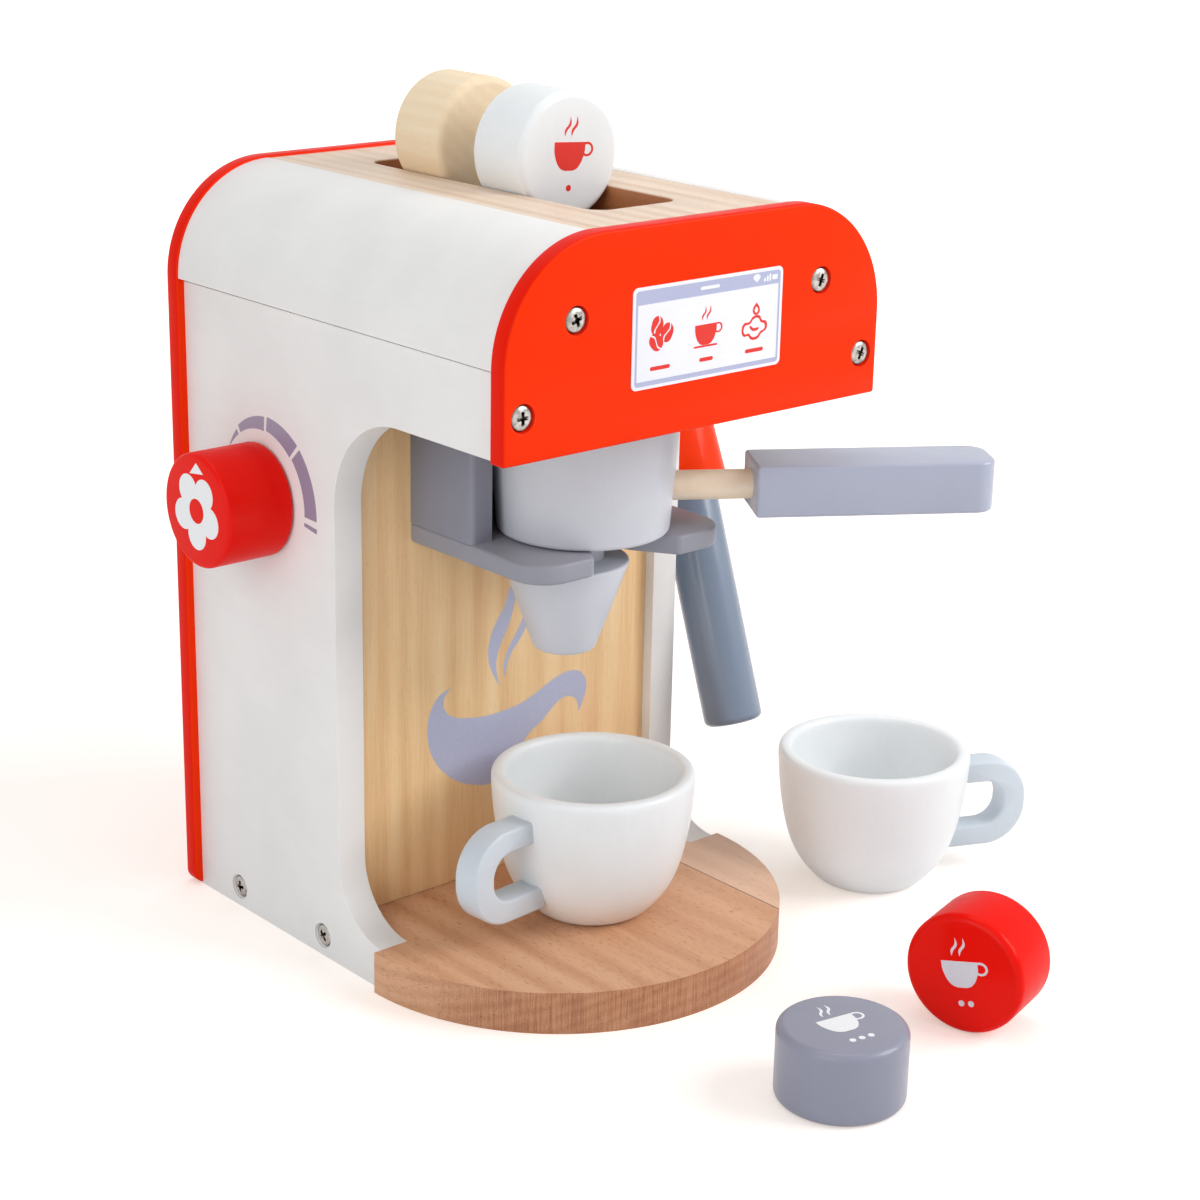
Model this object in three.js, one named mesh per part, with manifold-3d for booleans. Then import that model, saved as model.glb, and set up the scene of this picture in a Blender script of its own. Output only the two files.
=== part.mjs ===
// Toy coffee maker made of wooden pieces: a housing with a red front and back panel, a brewing
// bay with a portafilter, a knob, a steam wand, two cups and four capsules.
// Millimetres, Z up. X runs to the right as seen from the front and Y to the back. Every place
// below is measured from the middle plane (x), the front panel's face (y) and the floor (z).

import * as THREE from 'three';
import { mergeVertices } from 'three/addons/utils/BufferGeometryUtils.js';
import Module from 'manifold-3d';

const wasm = await Module();
wasm.setup();

// Clearances, and how far a cutter passes the face that it opens.
const seatGap = 0.3;
const runGap = 0.5;
const cutOverrun = 1;

// Facets of round pieces.
const arcSteps = 12;
const roundSteps = 40;
const smallRoundSteps = 16;
const edgeSteps = 2;
const bowlSteps = 9;

// Housing.
const housingWidth = 165;
const housingHeight = 273.8;
const housingDepth = 189;
const cornerRadius = 40;
const headHeight = 69;
const frontThickness = 7;
const backThickness = 6.4;
const backFootRadius = 5;
const sideThickness = 11.4;
const sideRim = 3.1;
const shoulderRim = 0.8;
const baseThickness = 15.4;

// Brewing bay between the side panels.
const footFront = 68.8;
const bayEdge = 93.5;
const bayArcRadius = 35;
const wallSetback = 4.4;
const wallThickness = 5;
const headFloorThickness = 6;

// Top board and its slot.
const topThickness = 12;
const slotWidth = 37.2;
const slotFront = 32;
const slotInset = 33;

// Countersunk screws with a cross recess.
const screwHeadRadius = 4.1;
const screwHeadRim = 0.4;
const screwHeadHeight = 2.6;
const screwShankRadius = 1.8;
const screwLength = 25;
const screwPointLength = 4;
const screwCrossLength = 4.6;
const screwCrossWidth = 1.1;
const screwCrossDepth = 1.3;

// Places of the screws.
const shoulderScrewX = 53.7;
const shoulderScrewDrop = 26.5;
const sideScrewInset = 4.5;
const sideScrewRise = 14.7;
const lowScrewHeight = 34;
const baseScrewSetback = 6;
const baseScrewInset = 25.4;

// Display plate on the front panel.
const displayWidth = 66;
const displayHeight = 33;
const displayThickness = 0.4;
const displayCornerRadius = 2;
const displayCentreX = 2;
const displayCentreDrop = 35.8;

// Brew block, and the fork plate below it that carries the portafilter.
const blockCheek = 8.2;
const blockBackWall = 5.1;
const blockSetback = 6.7;
const blockHeight = 47.4;
const blockEdgeRadius = 2;
const recessGap = 2.6;
const forkReach = 28.5;
const forkThickness = 7;
const forkCornerRadius = 12.5;
const forkMouthWidth = 39;
const forkMouthDepth = 16.5;

// Portafilter, which stands on the fork plate with its neck in the fork.
const filterHeading = THREE.MathUtils.degToRad(-33);
const filterFootRadius = 30;
const filterTopRadius = 33.2;
const filterHeight = 43.8;
const filterEdgeRadius = 1.5;
const neckRadius = 7.5;
const neckGap = 1;
const neckHeight = 10.7;
const spoutTopRadius = 22.6;
const spoutTipRadius = 10.8;
const spoutHeight = 33;
const spoutOffset = 5.9;
const dowelHeight = 14.3;
const dowelRadius = 5.2;
const dowelSeatDepth = 12;
const gripStart = 58.7;
const gripLength = 85.8;
const gripWidth = 24.3;
const gripHeight = 18.5;
const gripSeatDepth = 20;
const gripEndRadius = 7.5;
const gripEdgeRadius = 1.5;

// Knob on the left panel.
const knobRadius = 20.2;
const knobLength = 26.5;
const knobEdgeRadius = 2;
const knobDepthShare = 0.419;
const knobDrop = 41.1;
const knobAxleRadius = 4;
const knobSeatDepth = 16;
const retainerLength = 5;
const knobRetainerRadius = 10;

// Steam wand on the right panel.
const wandRadius = 11.3;
const wandTipRadius = 2.5;
const wandReach = 122.5;
const wandTilt = THREE.MathUtils.degToRad(-19.4);
const wandSetback = 13.2;
const wandDrop = 32.8;
const wandSocketDepth = 15;
const holderFootRadius = 16.1;
const holderTopRadius = 13.7;
const holderBelow = 28;
const holderAbove = 20;
const holderEdgeRadius = 1;
const wandAxleRadius = 3.5;
const wandAxlePastAxis = 4;
const wandWasherRadius = 6;
const wandWasherThickness = 0.8;
const wandRetainerRadius = 9;

// Cups.
const cupHeight = 53.6;
const cupRimRadius = 36.8;
const cupFootRadius = 19.6;
const cupWall = 5.6;
const cupFloor = 8;
const cupFloorRadius = 14;
const cupLipRadius = 1.6;
const bowlHeightShares = [0, 0.05, 0.12, 0.22, 0.41, 0.71, 1];
const bowlRadiusShares = [0, 0.23, 0.48, 0.68, 0.85, 0.96, 1];
const cupHandleReach = 62.9;
const cupHandleHeight = 34.7;
const cupHandleCentre = 27;
const cupHandleBar = 8.2;
const cupHandleThickness = 10.7;
const cupHandleRoot = 26;

// Places of the cups and the way their handles point.
const innerCupX = 2.2;
const innerCupY = 51.4;
const innerCupHeading = THREE.MathUtils.degToRad(185);
const outerCupX = 125.7;
const outerCupY = 28.8;
const outerCupHeading = THREE.MathUtils.degToRad(-24.5);

// Capsules: two hang in the slot, one lies on the floor and one stands on its rim.
const capsuleRadius = 21.75;
const capsuleThickness = 26;
const capsuleEdgeRadius = 2.2;
const frontCapsuleShare = 0.282;
const backCapsuleShare = 0.637;
const lyingCapsuleX = -8.4;
const lyingCapsuleY = -84.4;
const standingCapsuleX = 54.5;
const standingCapsuleY = -80.4;
const standingCapsuleHeading = THREE.MathUtils.degToRad(-74);

// Sizes that follow from the ones above.
const panelX = housingWidth / 2;
const sideX = panelX - sideRim;
const bayX = sideX - sideThickness;
const headUnderside = housingHeight - headHeight;
const shoulderRadius = cornerRadius - shoulderRim;
const shoulderX = panelX - shoulderRim;
const shoulderTop = housingHeight - shoulderRim;
const shoulderInnerX = shoulderX - shoulderRadius;
const seamHeight = shoulderTop - shoulderRadius;
const backFace = housingDepth - backThickness;
const wallFace = bayEdge + wallSetback;
const wallBack = wallFace + wallThickness;
const slotEdgeX = slotWidth / 2;
const slotEnd = housingDepth - slotInset;
const slotLength = slotEnd - slotFront;
const recessRadius = filterTopRadius + recessGap;
const filterAxisY = wallFace - blockBackWall - recessRadius;
const blockX = recessRadius + blockCheek;
const blockFront = filterAxisY + blockSetback;
const forkFront = filterAxisY - forkReach;
const forkTop = headUnderside - blockHeight;
const forkUnderside = forkTop - forkThickness;
const forkSeatRadius = neckRadius + neckGap;
const filterFoot = forkTop + seatGap;
const shoulderScrewHeight = housingHeight - shoulderScrewDrop;
const sideScrewX = sideX - sideScrewInset;
const sideScrewHeight = headUnderside + sideScrewRise;
const baseScrewFront = wallFace + baseScrewSetback;
const baseScrewBack = backFace - baseScrewInset;
const baseScrewHeight = baseThickness / 2;
const displayCentreHeight = housingHeight - displayCentreDrop;
const knobY = wallBack + (backFace - wallBack) * knobDepthShare;
const knobHeight = headUnderside - knobDrop;
const wandX = sideX + seatGap + holderFootRadius;
const wandPivotY = wallBack + wandSetback;
const wandPivotHeight = headUnderside - wandDrop;

// Finishes.
const beech = { color: 0xc9955f, roughness: 0.6, metalness: 0 };
const paleWood = { color: 0xe6c896, roughness: 0.6, metalness: 0 };
const whitePaint = { color: 0xf4f4f2, roughness: 0.4, metalness: 0 };
const redPaint = { color: 0xf03a10, roughness: 0.3, metalness: 0 };
const darkGreyPaint = { color: 0x83899a, roughness: 0.45, metalness: 0 };
const midGreyPaint = { color: 0x9096a8, roughness: 0.45, metalness: 0 };
const lightGreyPaint = { color: 0xb9bdc8, roughness: 0.45, metalness: 0 };
const bluePaint = { color: 0x6f8298, roughness: 0.4, metalness: 0 };
const handlePaint = { color: 0xd5dfe6, roughness: 0.4, metalness: 0 };
const printedFilm = { color: 0xf2f2f8, roughness: 0.3, metalness: 0 };
const steel = { color: 0xa9a9a6, roughness: 0.35, metalness: 1 };

// Closed solid of a geometry, with shared vertices merged and empty triangles dropped.
function toSolid(geometry) {
  const bare = geometry.clone();
  bare.deleteAttribute('normal');
  bare.deleteAttribute('uv');
  const merged = mergeVertices(bare);
  const index = merged.index.array;
  const triangles = [];
  for (let i = 0; i < index.length; i += 3) {
    const [a, b, c] = [index[i], index[i + 1], index[i + 2]];
    if (a !== b && b !== c && c !== a) {
      triangles.push(a, b, c);
    }
  }
  return new wasm.Manifold(new wasm.Mesh({
    numProp: 3,
    vertProperties: new Float32Array(merged.attributes.position.array),
    triVerts: new Uint32Array(triangles),
  }));
}

function toGeometry(solid) {
  const data = solid.getMesh();
  const geometry = new THREE.BufferGeometry();
  geometry.setAttribute('position', new THREE.BufferAttribute(data.vertProperties, 3));
  geometry.setIndex(new THREE.BufferAttribute(data.triVerts, 1));
  geometry.computeVertexNormals();
  return geometry;
}

// Geometry less each cutter; a cutter is a geometry in the same place.
function cut(geometry, cutters) {
  let solid = toSolid(geometry);
  for (const cutter of cutters) {
    solid = solid.subtract(toSolid(cutter));
  }
  return toGeometry(solid);
}

function piece(name, geometry, finish) {
  const mesh = new THREE.Mesh(toGeometry(toSolid(geometry)), new THREE.MeshStandardMaterial(finish));
  mesh.name = name;
  return mesh;
}

// Outline from a list of points, with the straight or round stretches already in it.
function outline(points) {
  return new THREE.Shape(points);
}

// Points of an arc round a centre, from one angle to another in degrees, with both ends.
function arc(x, y, radius, from, to, steps = arcSteps) {
  const points = [];
  for (let i = 0; i <= steps; i += 1) {
    const angle = THREE.MathUtils.degToRad(from + (to - from) * i / steps);
    points.push(new THREE.Vector2(x + radius * Math.cos(angle), y + radius * Math.sin(angle)));
  }
  return points;
}

function at(x, y) {
  return new THREE.Vector2(x, y);
}

// Extrusion of an outline in X and Y, from one height to another.
function upright(shape, from, to) {
  const geometry = new THREE.ExtrudeGeometry(shape, { depth: to - from, bevelEnabled: false });
  return geometry.translate(0, 0, from);
}

// Extrusion of an outline in X and Z, from one Y to another.
function frontal(shape, from, to) {
  const geometry = new THREE.ExtrudeGeometry(shape, { depth: to - from, bevelEnabled: false });
  return geometry.rotateX(Math.PI / 2).translate(0, to, 0);
}

// Extrusion of an outline in Y and Z, from one X to another.
function sideways(shape, from, to) {
  const geometry = new THREE.ExtrudeGeometry(shape, { depth: to - from, bevelEnabled: false });
  const turn = new THREE.Matrix4().makeBasis(
    new THREE.Vector3(0, 1, 0), new THREE.Vector3(0, 0, 1), new THREE.Vector3(1, 0, 0));
  return geometry.applyMatrix4(turn).translate(from, 0, 0);
}

function box(x0, x1, y0, y1, z0, z1) {
  return upright(outline([at(x0, y0), at(x1, y0), at(x1, y1), at(x0, y1)]), z0, z1);
}

// Turned piece round the Z axis; the profile is given as radius and height, upwards.
function turned(profile, steps = roundSteps) {
  return new THREE.LatheGeometry(profile, steps).rotateX(Math.PI / 2);
}

// Cone or cylinder round the Z axis with a rounded lower and upper edge.
function roundedPlug(lowerRadius, upperRadius, height, lowerEdge, upperEdge, steps = roundSteps) {
  const profile = [at(0, 0)];
  if (lowerEdge > 0) {
    profile.push(...arc(lowerRadius - lowerEdge, lowerEdge, lowerEdge, -90, 0, edgeSteps));
  } else {
    profile.push(at(lowerRadius, 0));
  }
  if (upperEdge > 0) {
    profile.push(...arc(upperRadius - upperEdge, height - upperEdge, upperEdge, 0, 90, edgeSteps));
  } else {
    profile.push(at(upperRadius, height));
  }
  profile.push(at(0, height));
  return turned(profile, steps);
}

function rod(radius, from, to, steps = smallRoundSteps) {
  return roundedPlug(radius, radius, to - from, 0, 0, steps).translate(0, 0, from);
}

// Screw with its head's face at height zero and its point below, larger by a gap for its hole.
function screwBody(gap) {
  const head = screwHeadRadius + gap;
  const shank = screwShankRadius + gap;
  const top = gap > 0 ? cutOverrun : 0;
  return turned([
    at(0, -screwLength - gap),
    at(shank, -screwLength + screwPointLength),
    at(shank, -screwHeadHeight - gap),
    at(head, -screwHeadRim - gap),
    at(head, top),
    at(0, top),
  ], smallRoundSteps);
}

function screwGeometry() {
  const half = screwCrossLength / 2;
  const width = screwCrossWidth / 2;
  return cut(screwBody(0), [
    box(-half, half, -width, width, -screwCrossDepth, cutOverrun),
    box(-width, width, -half, half, -screwCrossDepth, cutOverrun),
  ]);
}

// Every screw: its name, the place of its head and the way the head faces.
const screwPlaces = [];
for (const [word, sign] of [['left', -1], ['right', 1]]) {
  screwPlaces.push(
    { name: `screw_front_shoulder_${word}`, x: sign * shoulderScrewX, y: 0,
      z: shoulderScrewHeight, faces: 'front' },
    { name: `screw_front_side_${word}`, x: sign * sideScrewX, y: 0,
      z: sideScrewHeight, faces: 'front' },
    { name: `screw_back_shoulder_${word}`, x: sign * shoulderScrewX, y: housingDepth,
      z: shoulderScrewHeight, faces: 'back' },
    { name: `screw_back_upper_${word}`, x: sign * sideScrewX, y: housingDepth,
      z: sideScrewHeight, faces: 'back' },
    { name: `screw_back_lower_${word}`, x: sign * sideScrewX, y: housingDepth,
      z: lowScrewHeight, faces: 'back' },
    { name: `screw_base_front_${word}`, x: sign * sideX, y: baseScrewFront,
      z: baseScrewHeight, faces: word },
    { name: `screw_base_back_${word}`, x: sign * sideX, y: baseScrewBack,
      z: baseScrewHeight, faces: word },
  );
}

// Turn that brings the Z axis to the way the head faces.
function facing(way) {
  const directions = {
    front: new THREE.Vector3(0, -1, 0),
    back: new THREE.Vector3(0, 1, 0),
    left: new THREE.Vector3(-1, 0, 0),
    right: new THREE.Vector3(1, 0, 0),
  };
  return new THREE.Quaternion().setFromUnitVectors(new THREE.Vector3(0, 0, 1), directions[way]);
}

// Holes for the screws that a piece on one side of the housing meets.
function screwHoles(words) {
  const holes = [];
  for (const place of screwPlaces) {
    if (words.some((word) => place.name.includes(word))) {
      const hole = screwBody(seatGap).applyQuaternion(facing(place.faces));
      holes.push(hole.translate(place.x, place.y, place.z));
    }
  }
  return holes;
}

// Panel outline in X and Z with round upper corners.
function panelShape(bottom, footRadius) {
  const centreX = panelX - cornerRadius;
  const centreZ = housingHeight - cornerRadius;
  const points = [];
  if (footRadius > 0) {
    points.push(...arc(-panelX + footRadius, bottom + footRadius, footRadius, 180, 270, edgeSteps));
    points.push(...arc(panelX - footRadius, bottom + footRadius, footRadius, 270, 360, edgeSteps));
  } else {
    points.push(at(-panelX, bottom), at(panelX, bottom));
  }
  points.push(...arc(centreX, centreZ, cornerRadius, 0, 90));
  points.push(...arc(-centreX, centreZ, cornerRadius, 90, 180));
  return outline(points);
}

// Red panels.
function frontPanel() {
  const panel = frontal(panelShape(headUnderside, 0), 0, frontThickness);
  return piece('front_panel', cut(panel, screwHoles(['front_shoulder', 'front_side'])), redPaint);
}

function backPanel() {
  const panel = frontal(panelShape(0, backFootRadius), backFace, housingDepth);
  return piece('back_panel', cut(panel, screwHoles(['screw_back'])), redPaint);
}

// Printed display plate on the front panel.
function displayPlate() {
  const x = displayWidth / 2 - displayCornerRadius;
  const z = displayHeight / 2 - displayCornerRadius;
  const shape = outline([
    ...arc(x, z, displayCornerRadius, 0, 90, edgeSteps),
    ...arc(-x, z, displayCornerRadius, 90, 180, edgeSteps),
    ...arc(-x, -z, displayCornerRadius, 180, 270, edgeSteps),
    ...arc(x, -z, displayCornerRadius, 270, 360, edgeSteps),
  ]);
  const plate = piece('display_plate', frontal(shape, -displayThickness, 0), printedFilm);
  plate.position.set(displayCentreX, 0, displayCentreHeight);
  return plate;
}

// Side panel: an upright C that carries the head over the bay, with a foot beside the base.
function sidePanel(word, sign) {
  const shape = outline([
    at(footFront, 0),
    at(backFace, 0),
    at(backFace, seamHeight),
    at(frontThickness, seamHeight),
    at(frontThickness, headUnderside),
    ...arc(bayEdge - bayArcRadius, headUnderside - bayArcRadius, bayArcRadius, 90, 0),
    ...arc(footFront, baseThickness + bayEdge - footFront, bayEdge - footFront, 0, -90),
  ]);
  const from = sign > 0 ? bayX : -sideX;
  const panel = sideways(shape, from, from + sideThickness);
  const holes = screwHoles([
    `front_side_${word}`, `back_upper_${word}`, `back_lower_${word}`,
    `base_front_${word}`, `base_back_${word}`,
  ]);
  const bore = sign > 0
    ? rod(wandAxleRadius + runGap, bayX - cutOverrun, sideX + cutOverrun)
    : rod(knobAxleRadius + runGap, -sideX - cutOverrun, -bayX + cutOverrun);
  bore.rotateY(Math.PI / 2);
  bore.translate(0, sign > 0 ? wandPivotY : knobY, sign > 0 ? wandPivotHeight : knobHeight);
  return piece(`side_panel_${word}`, cut(panel, [...holes, bore]), whitePaint);
}

// Quarter-round shoulder on top of each side panel.
function shoulder(word, sign) {
  const shape = outline([
    at(sign * shoulderInnerX, seamHeight),
    ...arc(sign * shoulderInnerX, seamHeight, shoulderRadius, sign > 0 ? 0 : 180, 90),
  ]);
  const log = frontal(shape, frontThickness, backFace);
  const holes = screwHoles([`front_shoulder_${word}`, `back_shoulder_${word}`]);
  return piece(`shoulder_${word}`, cut(log, holes), whitePaint);
}

// Board between the shoulders, with the slot that the capsules hang in.
function topBoard() {
  const underside = shoulderTop - topThickness;
  const board = box(-shoulderInnerX, shoulderInnerX, frontThickness, backFace, underside, shoulderTop);
  const slot = box(-slotEdgeX, slotEdgeX, slotFront, slotEnd,
    underside - cutOverrun, shoulderTop + cutOverrun);
  return piece('top_board', cut(board, [slot]), paleWood);
}

// Base: a half disc in front of the side panels and a tongue between them.
function baseBoard() {
  const shape = outline([
    ...arc(0, footFront, panelX, 180, 360, roundSteps / 2),
    at(bayX, footFront),
    at(bayX, backFace),
    at(-bayX, backFace),
    at(-bayX, footFront),
  ]);
  const board = upright(shape, 0, baseThickness);
  return piece('base_board', cut(board, screwHoles(['screw_base'])), beech);
}

function innerWall() {
  const wall = box(-bayX, bayX, wallFace, wallBack, baseThickness, headUnderside);
  return piece('inner_wall', wall, paleWood);
}

function headFloor() {
  const floor = box(-bayX, bayX, frontThickness, wallBack,
    headUnderside, headUnderside + headFloorThickness);
  return piece('head_floor', floor, paleWood);
}

// Block under the head with a round recess for the portafilter.
function brewBlock() {
  const shape = outline([
    ...arc(-blockX + blockEdgeRadius, blockFront + blockEdgeRadius, blockEdgeRadius, 180, 270, edgeSteps),
    ...arc(blockX - blockEdgeRadius, blockFront + blockEdgeRadius, blockEdgeRadius, 270, 360, edgeSteps),
    at(blockX, wallFace),
    at(-blockX, wallFace),
  ]);
  const recess = rod(recessRadius, forkTop - cutOverrun, headUnderside + cutOverrun, roundSteps);
  recess.translate(0, filterAxisY, 0);
  return piece('brew_block', cut(upright(shape, forkTop, headUnderside), [recess]), darkGreyPaint);
}

// Fork plate: its slot narrows from a wide mouth to the round seat of the neck.
function forkPlate() {
  const mouthX = forkMouthWidth / 2;
  const mouthEnd = forkFront + forkMouthDepth;
  const cornerY = forkFront + forkCornerRadius;
  const shape = outline([
    ...arc(-blockX + forkCornerRadius, cornerY, forkCornerRadius, 180, 270, arcSteps / 2),
    at(-mouthX, forkFront),
    at(-forkSeatRadius, mouthEnd),
    ...arc(0, filterAxisY, forkSeatRadius, 180, 0),
    at(forkSeatRadius, mouthEnd),
    at(mouthX, forkFront),
    ...arc(blockX - forkCornerRadius, cornerY, forkCornerRadius, 270, 360, arcSteps / 2),
    at(blockX, wallFace),
    at(-blockX, wallFace),
  ]);
  return piece('fork_plate', upright(shape, forkUnderside, forkTop), midGreyPaint);
}

// Portafilter, drawn round its own axis with the handle along X, then turned and placed.
function portafilter() {
  const dowelStart = filterFootRadius - dowelSeatDepth;
  const dowelEnd = gripStart + gripSeatDepth;
  const lyingRod = (gap, from, to) => rod(dowelRadius + gap, from, to)
    .rotateY(Math.PI / 2)
    .translate(0, 0, dowelHeight);

  const cup = roundedPlug(filterFootRadius, filterTopRadius, filterHeight,
    filterEdgeRadius, filterEdgeRadius);
  const cupBore = lyingRod(seatGap, dowelStart - seatGap, filterTopRadius + cutOverrun);

  const half = gripWidth / 2;
  const end = gripStart + gripLength;
  const plan = outline([
    at(gripStart, -half),
    ...arc(end - gripEndRadius, -half + gripEndRadius, gripEndRadius, -90, 0, arcSteps / 2),
    ...arc(end - gripEndRadius, half - gripEndRadius, gripEndRadius, 0, 90, arcSteps / 2),
    at(gripStart, half),
  ]);
  const grip = new THREE.ExtrudeGeometry(plan, {
    depth: gripHeight - 2 * gripEdgeRadius,
    bevelThickness: gripEdgeRadius,
    bevelSize: gripEdgeRadius,
    bevelOffset: -gripEdgeRadius,
    bevelSegments: edgeSteps,
  });
  grip.translate(0, 0, dowelHeight - gripHeight / 2 + gripEdgeRadius);
  const gripBore = lyingRod(seatGap, gripStart - cutOverrun, dowelEnd + seatGap);

  const spout = roundedPlug(spoutTipRadius, spoutTopRadius, spoutHeight, filterEdgeRadius, 0);
  spout.translate(-spoutOffset, 0, -neckHeight - spoutHeight);

  const group = new THREE.Group();
  group.add(
    piece('portafilter_cup', cut(cup, [cupBore]), lightGreyPaint),
    piece('portafilter_dowel', lyingRod(0, dowelStart, dowelEnd), paleWood),
    piece('portafilter_grip', cut(grip, [gripBore]), midGreyPaint),
    piece('portafilter_neck', rod(neckRadius, -neckHeight, 0, roundSteps / 2), lightGreyPaint),
    piece('portafilter_spout', spout, lightGreyPaint),
  );
  group.rotation.z = filterHeading;
  group.position.set(0, filterAxisY, filterFoot);
  return group;
}

// Knob with its axle through the left panel, drawn with its face upwards.
function knobSet() {
  const foot = runGap;
  const axleTop = foot + knobSeatDepth;
  const axleFoot = -sideThickness - runGap - retainerLength;
  const knob = roundedPlug(knobRadius, knobRadius, knobLength, 0, knobEdgeRadius);
  knob.translate(0, 0, foot);
  const seat = rod(knobAxleRadius + seatGap, foot - cutOverrun, axleTop + seatGap);
  const ring = rod(knobRetainerRadius, axleFoot, axleFoot + retainerLength);
  const ringBore = rod(knobAxleRadius + seatGap, axleFoot - cutOverrun,
    axleFoot + retainerLength + cutOverrun);

  const group = new THREE.Group();
  group.add(
    piece('knob', cut(knob, [seat]), redPaint),
    piece('knob_axle', rod(knobAxleRadius, axleFoot, axleTop), paleWood),
    piece('knob_retainer', cut(ring, [ringBore]), paleWood),
  );
  group.rotation.y = -Math.PI / 2;
  group.position.set(-sideX, knobY, knobHeight);
  return group;
}

// Steam wand and its holder, drawn upright round the pivot, then tilted.
function wandSet() {
  const axleStart = bayX - runGap - retainerLength - wandX;
  const wandFoot = -wandReach;
  const wandTop = -holderBelow + wandSocketDepth;
  const wand = roundedPlug(wandRadius, wandRadius, wandTop - wandFoot, wandTipRadius, 0, roundSteps / 2);
  wand.translate(0, 0, wandFoot);
  const holder = roundedPlug(holderFootRadius, holderTopRadius, holderBelow + holderAbove,
    0, holderEdgeRadius);
  holder.translate(0, 0, -holderBelow);
  const socket = rod(wandRadius + seatGap, -holderBelow - cutOverrun, wandTop + seatGap, roundSteps / 2);
  const lying = (radius, from, to) => rod(radius, from, to).rotateY(Math.PI / 2);
  const axleBore = lying(wandAxleRadius + seatGap, -holderFootRadius - cutOverrun,
    wandAxlePastAxis + seatGap);
  const retainerEnd = axleStart + retainerLength;
  const washerStart = sideX + seatGap - wandX;
  const washerEnd = washerStart + wandWasherThickness;
  const ring = (name, radius, from, to, finish) => piece(name, cut(lying(radius, from, to), [
    lying(wandAxleRadius + seatGap, from - cutOverrun, to + cutOverrun),
  ]), finish);

  const group = new THREE.Group();
  group.add(
    piece('steam_wand', wand, bluePaint),
    piece('wand_holder', cut(holder, [socket, axleBore]), redPaint),
    piece('wand_axle', lying(wandAxleRadius, axleStart, wandAxlePastAxis), steel),
    ring('wand_washer', wandWasherRadius, washerStart, washerEnd, steel),
    ring('wand_retainer', wandRetainerRadius, axleStart, retainerEnd, steel),
  );
  group.rotation.x = wandTilt;
  group.position.set(wandX, wandPivotY, wandPivotHeight);
  return group;
}

// Points of a bowl's side between two radii and two heights, from the foot up.
function bowlSide(footRadius, rimRadius, foot, rim) {
  const points = bowlHeightShares.map((share, i) => at(
    footRadius + (rimRadius - footRadius) * bowlRadiusShares[i],
    foot + (rim - foot) * share,
  ));
  return new THREE.SplineCurve(points).getPoints(bowlSteps);
}

// Outer skin of a cup as a filled body, larger by a gap.
function cupBulk(gap) {
  return turned([
    at(0, -gap),
    ...bowlSide(cupFootRadius + gap, cupRimRadius + gap, -gap, cupHeight + gap),
    at(0, cupHeight + gap),
  ]);
}

function cupBowl() {
  const lip = cupHeight - cupLipRadius;
  const innerRim = cupRimRadius - cupWall;
  return turned([
    at(0, 0),
    ...bowlSide(cupFootRadius, cupRimRadius, 0, lip),
    ...arc(cupRimRadius - cupLipRadius, lip, cupLipRadius, 0, 90, edgeSteps).slice(1),
    ...arc(innerRim + cupLipRadius, lip, cupLipRadius, 90, 180, edgeSteps),
    ...bowlSide(cupFloorRadius, innerRim, cupFloor, lip).reverse().slice(1),
    at(0, cupFloor),
  ]);
}

// Flat C-shaped handle that ends at the cup's wall.
function cupHandle() {
  const outerRadius = cupHandleHeight / 2;
  const innerRadius = outerRadius - cupHandleBar;
  const centre = cupHandleReach - outerRadius;
  const shape = outline([
    at(cupHandleRoot, -outerRadius),
    ...arc(centre, 0, outerRadius, -90, 90, arcSteps),
    at(cupHandleRoot, outerRadius),
    at(cupHandleRoot, innerRadius),
    ...arc(centre, 0, innerRadius, 90, -90, arcSteps),
    at(cupHandleRoot, -innerRadius),
  ]);
  const bar = frontal(shape, -cupHandleThickness / 2, cupHandleThickness / 2);
  return cut(bar.translate(0, 0, cupHandleCentre), [cupBulk(seatGap)]);
}

function cup(word, x, y, z, heading) {
  const group = new THREE.Group();
  group.add(
    piece(`cup_${word}`, cupBowl(), whitePaint),
    piece(`cup_${word}_handle`, cupHandle(), handlePaint),
  );
  group.rotation.z = heading;
  group.position.set(x, y, z);
  return group;
}

function capsule(name, finish) {
  return piece(name, roundedPlug(capsuleRadius, capsuleRadius, capsuleThickness,
    capsuleEdgeRadius, capsuleEdgeRadius), finish);
}

// Capsules, in the slot with their axis along Y and on the floor.
function capsules() {
  const rise = Math.sqrt(capsuleRadius ** 2 - slotEdgeX ** 2);
  const group = new THREE.Group();
  for (const [name, finish, share] of [
    ['capsule_white', whitePaint, frontCapsuleShare],
    ['capsule_wood', paleWood, backCapsuleShare],
  ]) {
    const hung = capsule(name, finish);
    hung.rotation.x = -Math.PI / 2;
    hung.position.set(0, slotFront + slotLength * share, shoulderTop + rise + seatGap);
    group.add(hung);
  }
  const lying = capsule('capsule_grey', midGreyPaint);
  lying.position.set(lyingCapsuleX, lyingCapsuleY, 0);
  const standing = capsule('capsule_red', redPaint);
  standing.rotation.set(-Math.PI / 2, 0, standingCapsuleHeading, 'ZXY');
  standing.position.set(standingCapsuleX, standingCapsuleY, capsuleRadius);
  group.add(lying, standing);
  return group;
}

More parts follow.
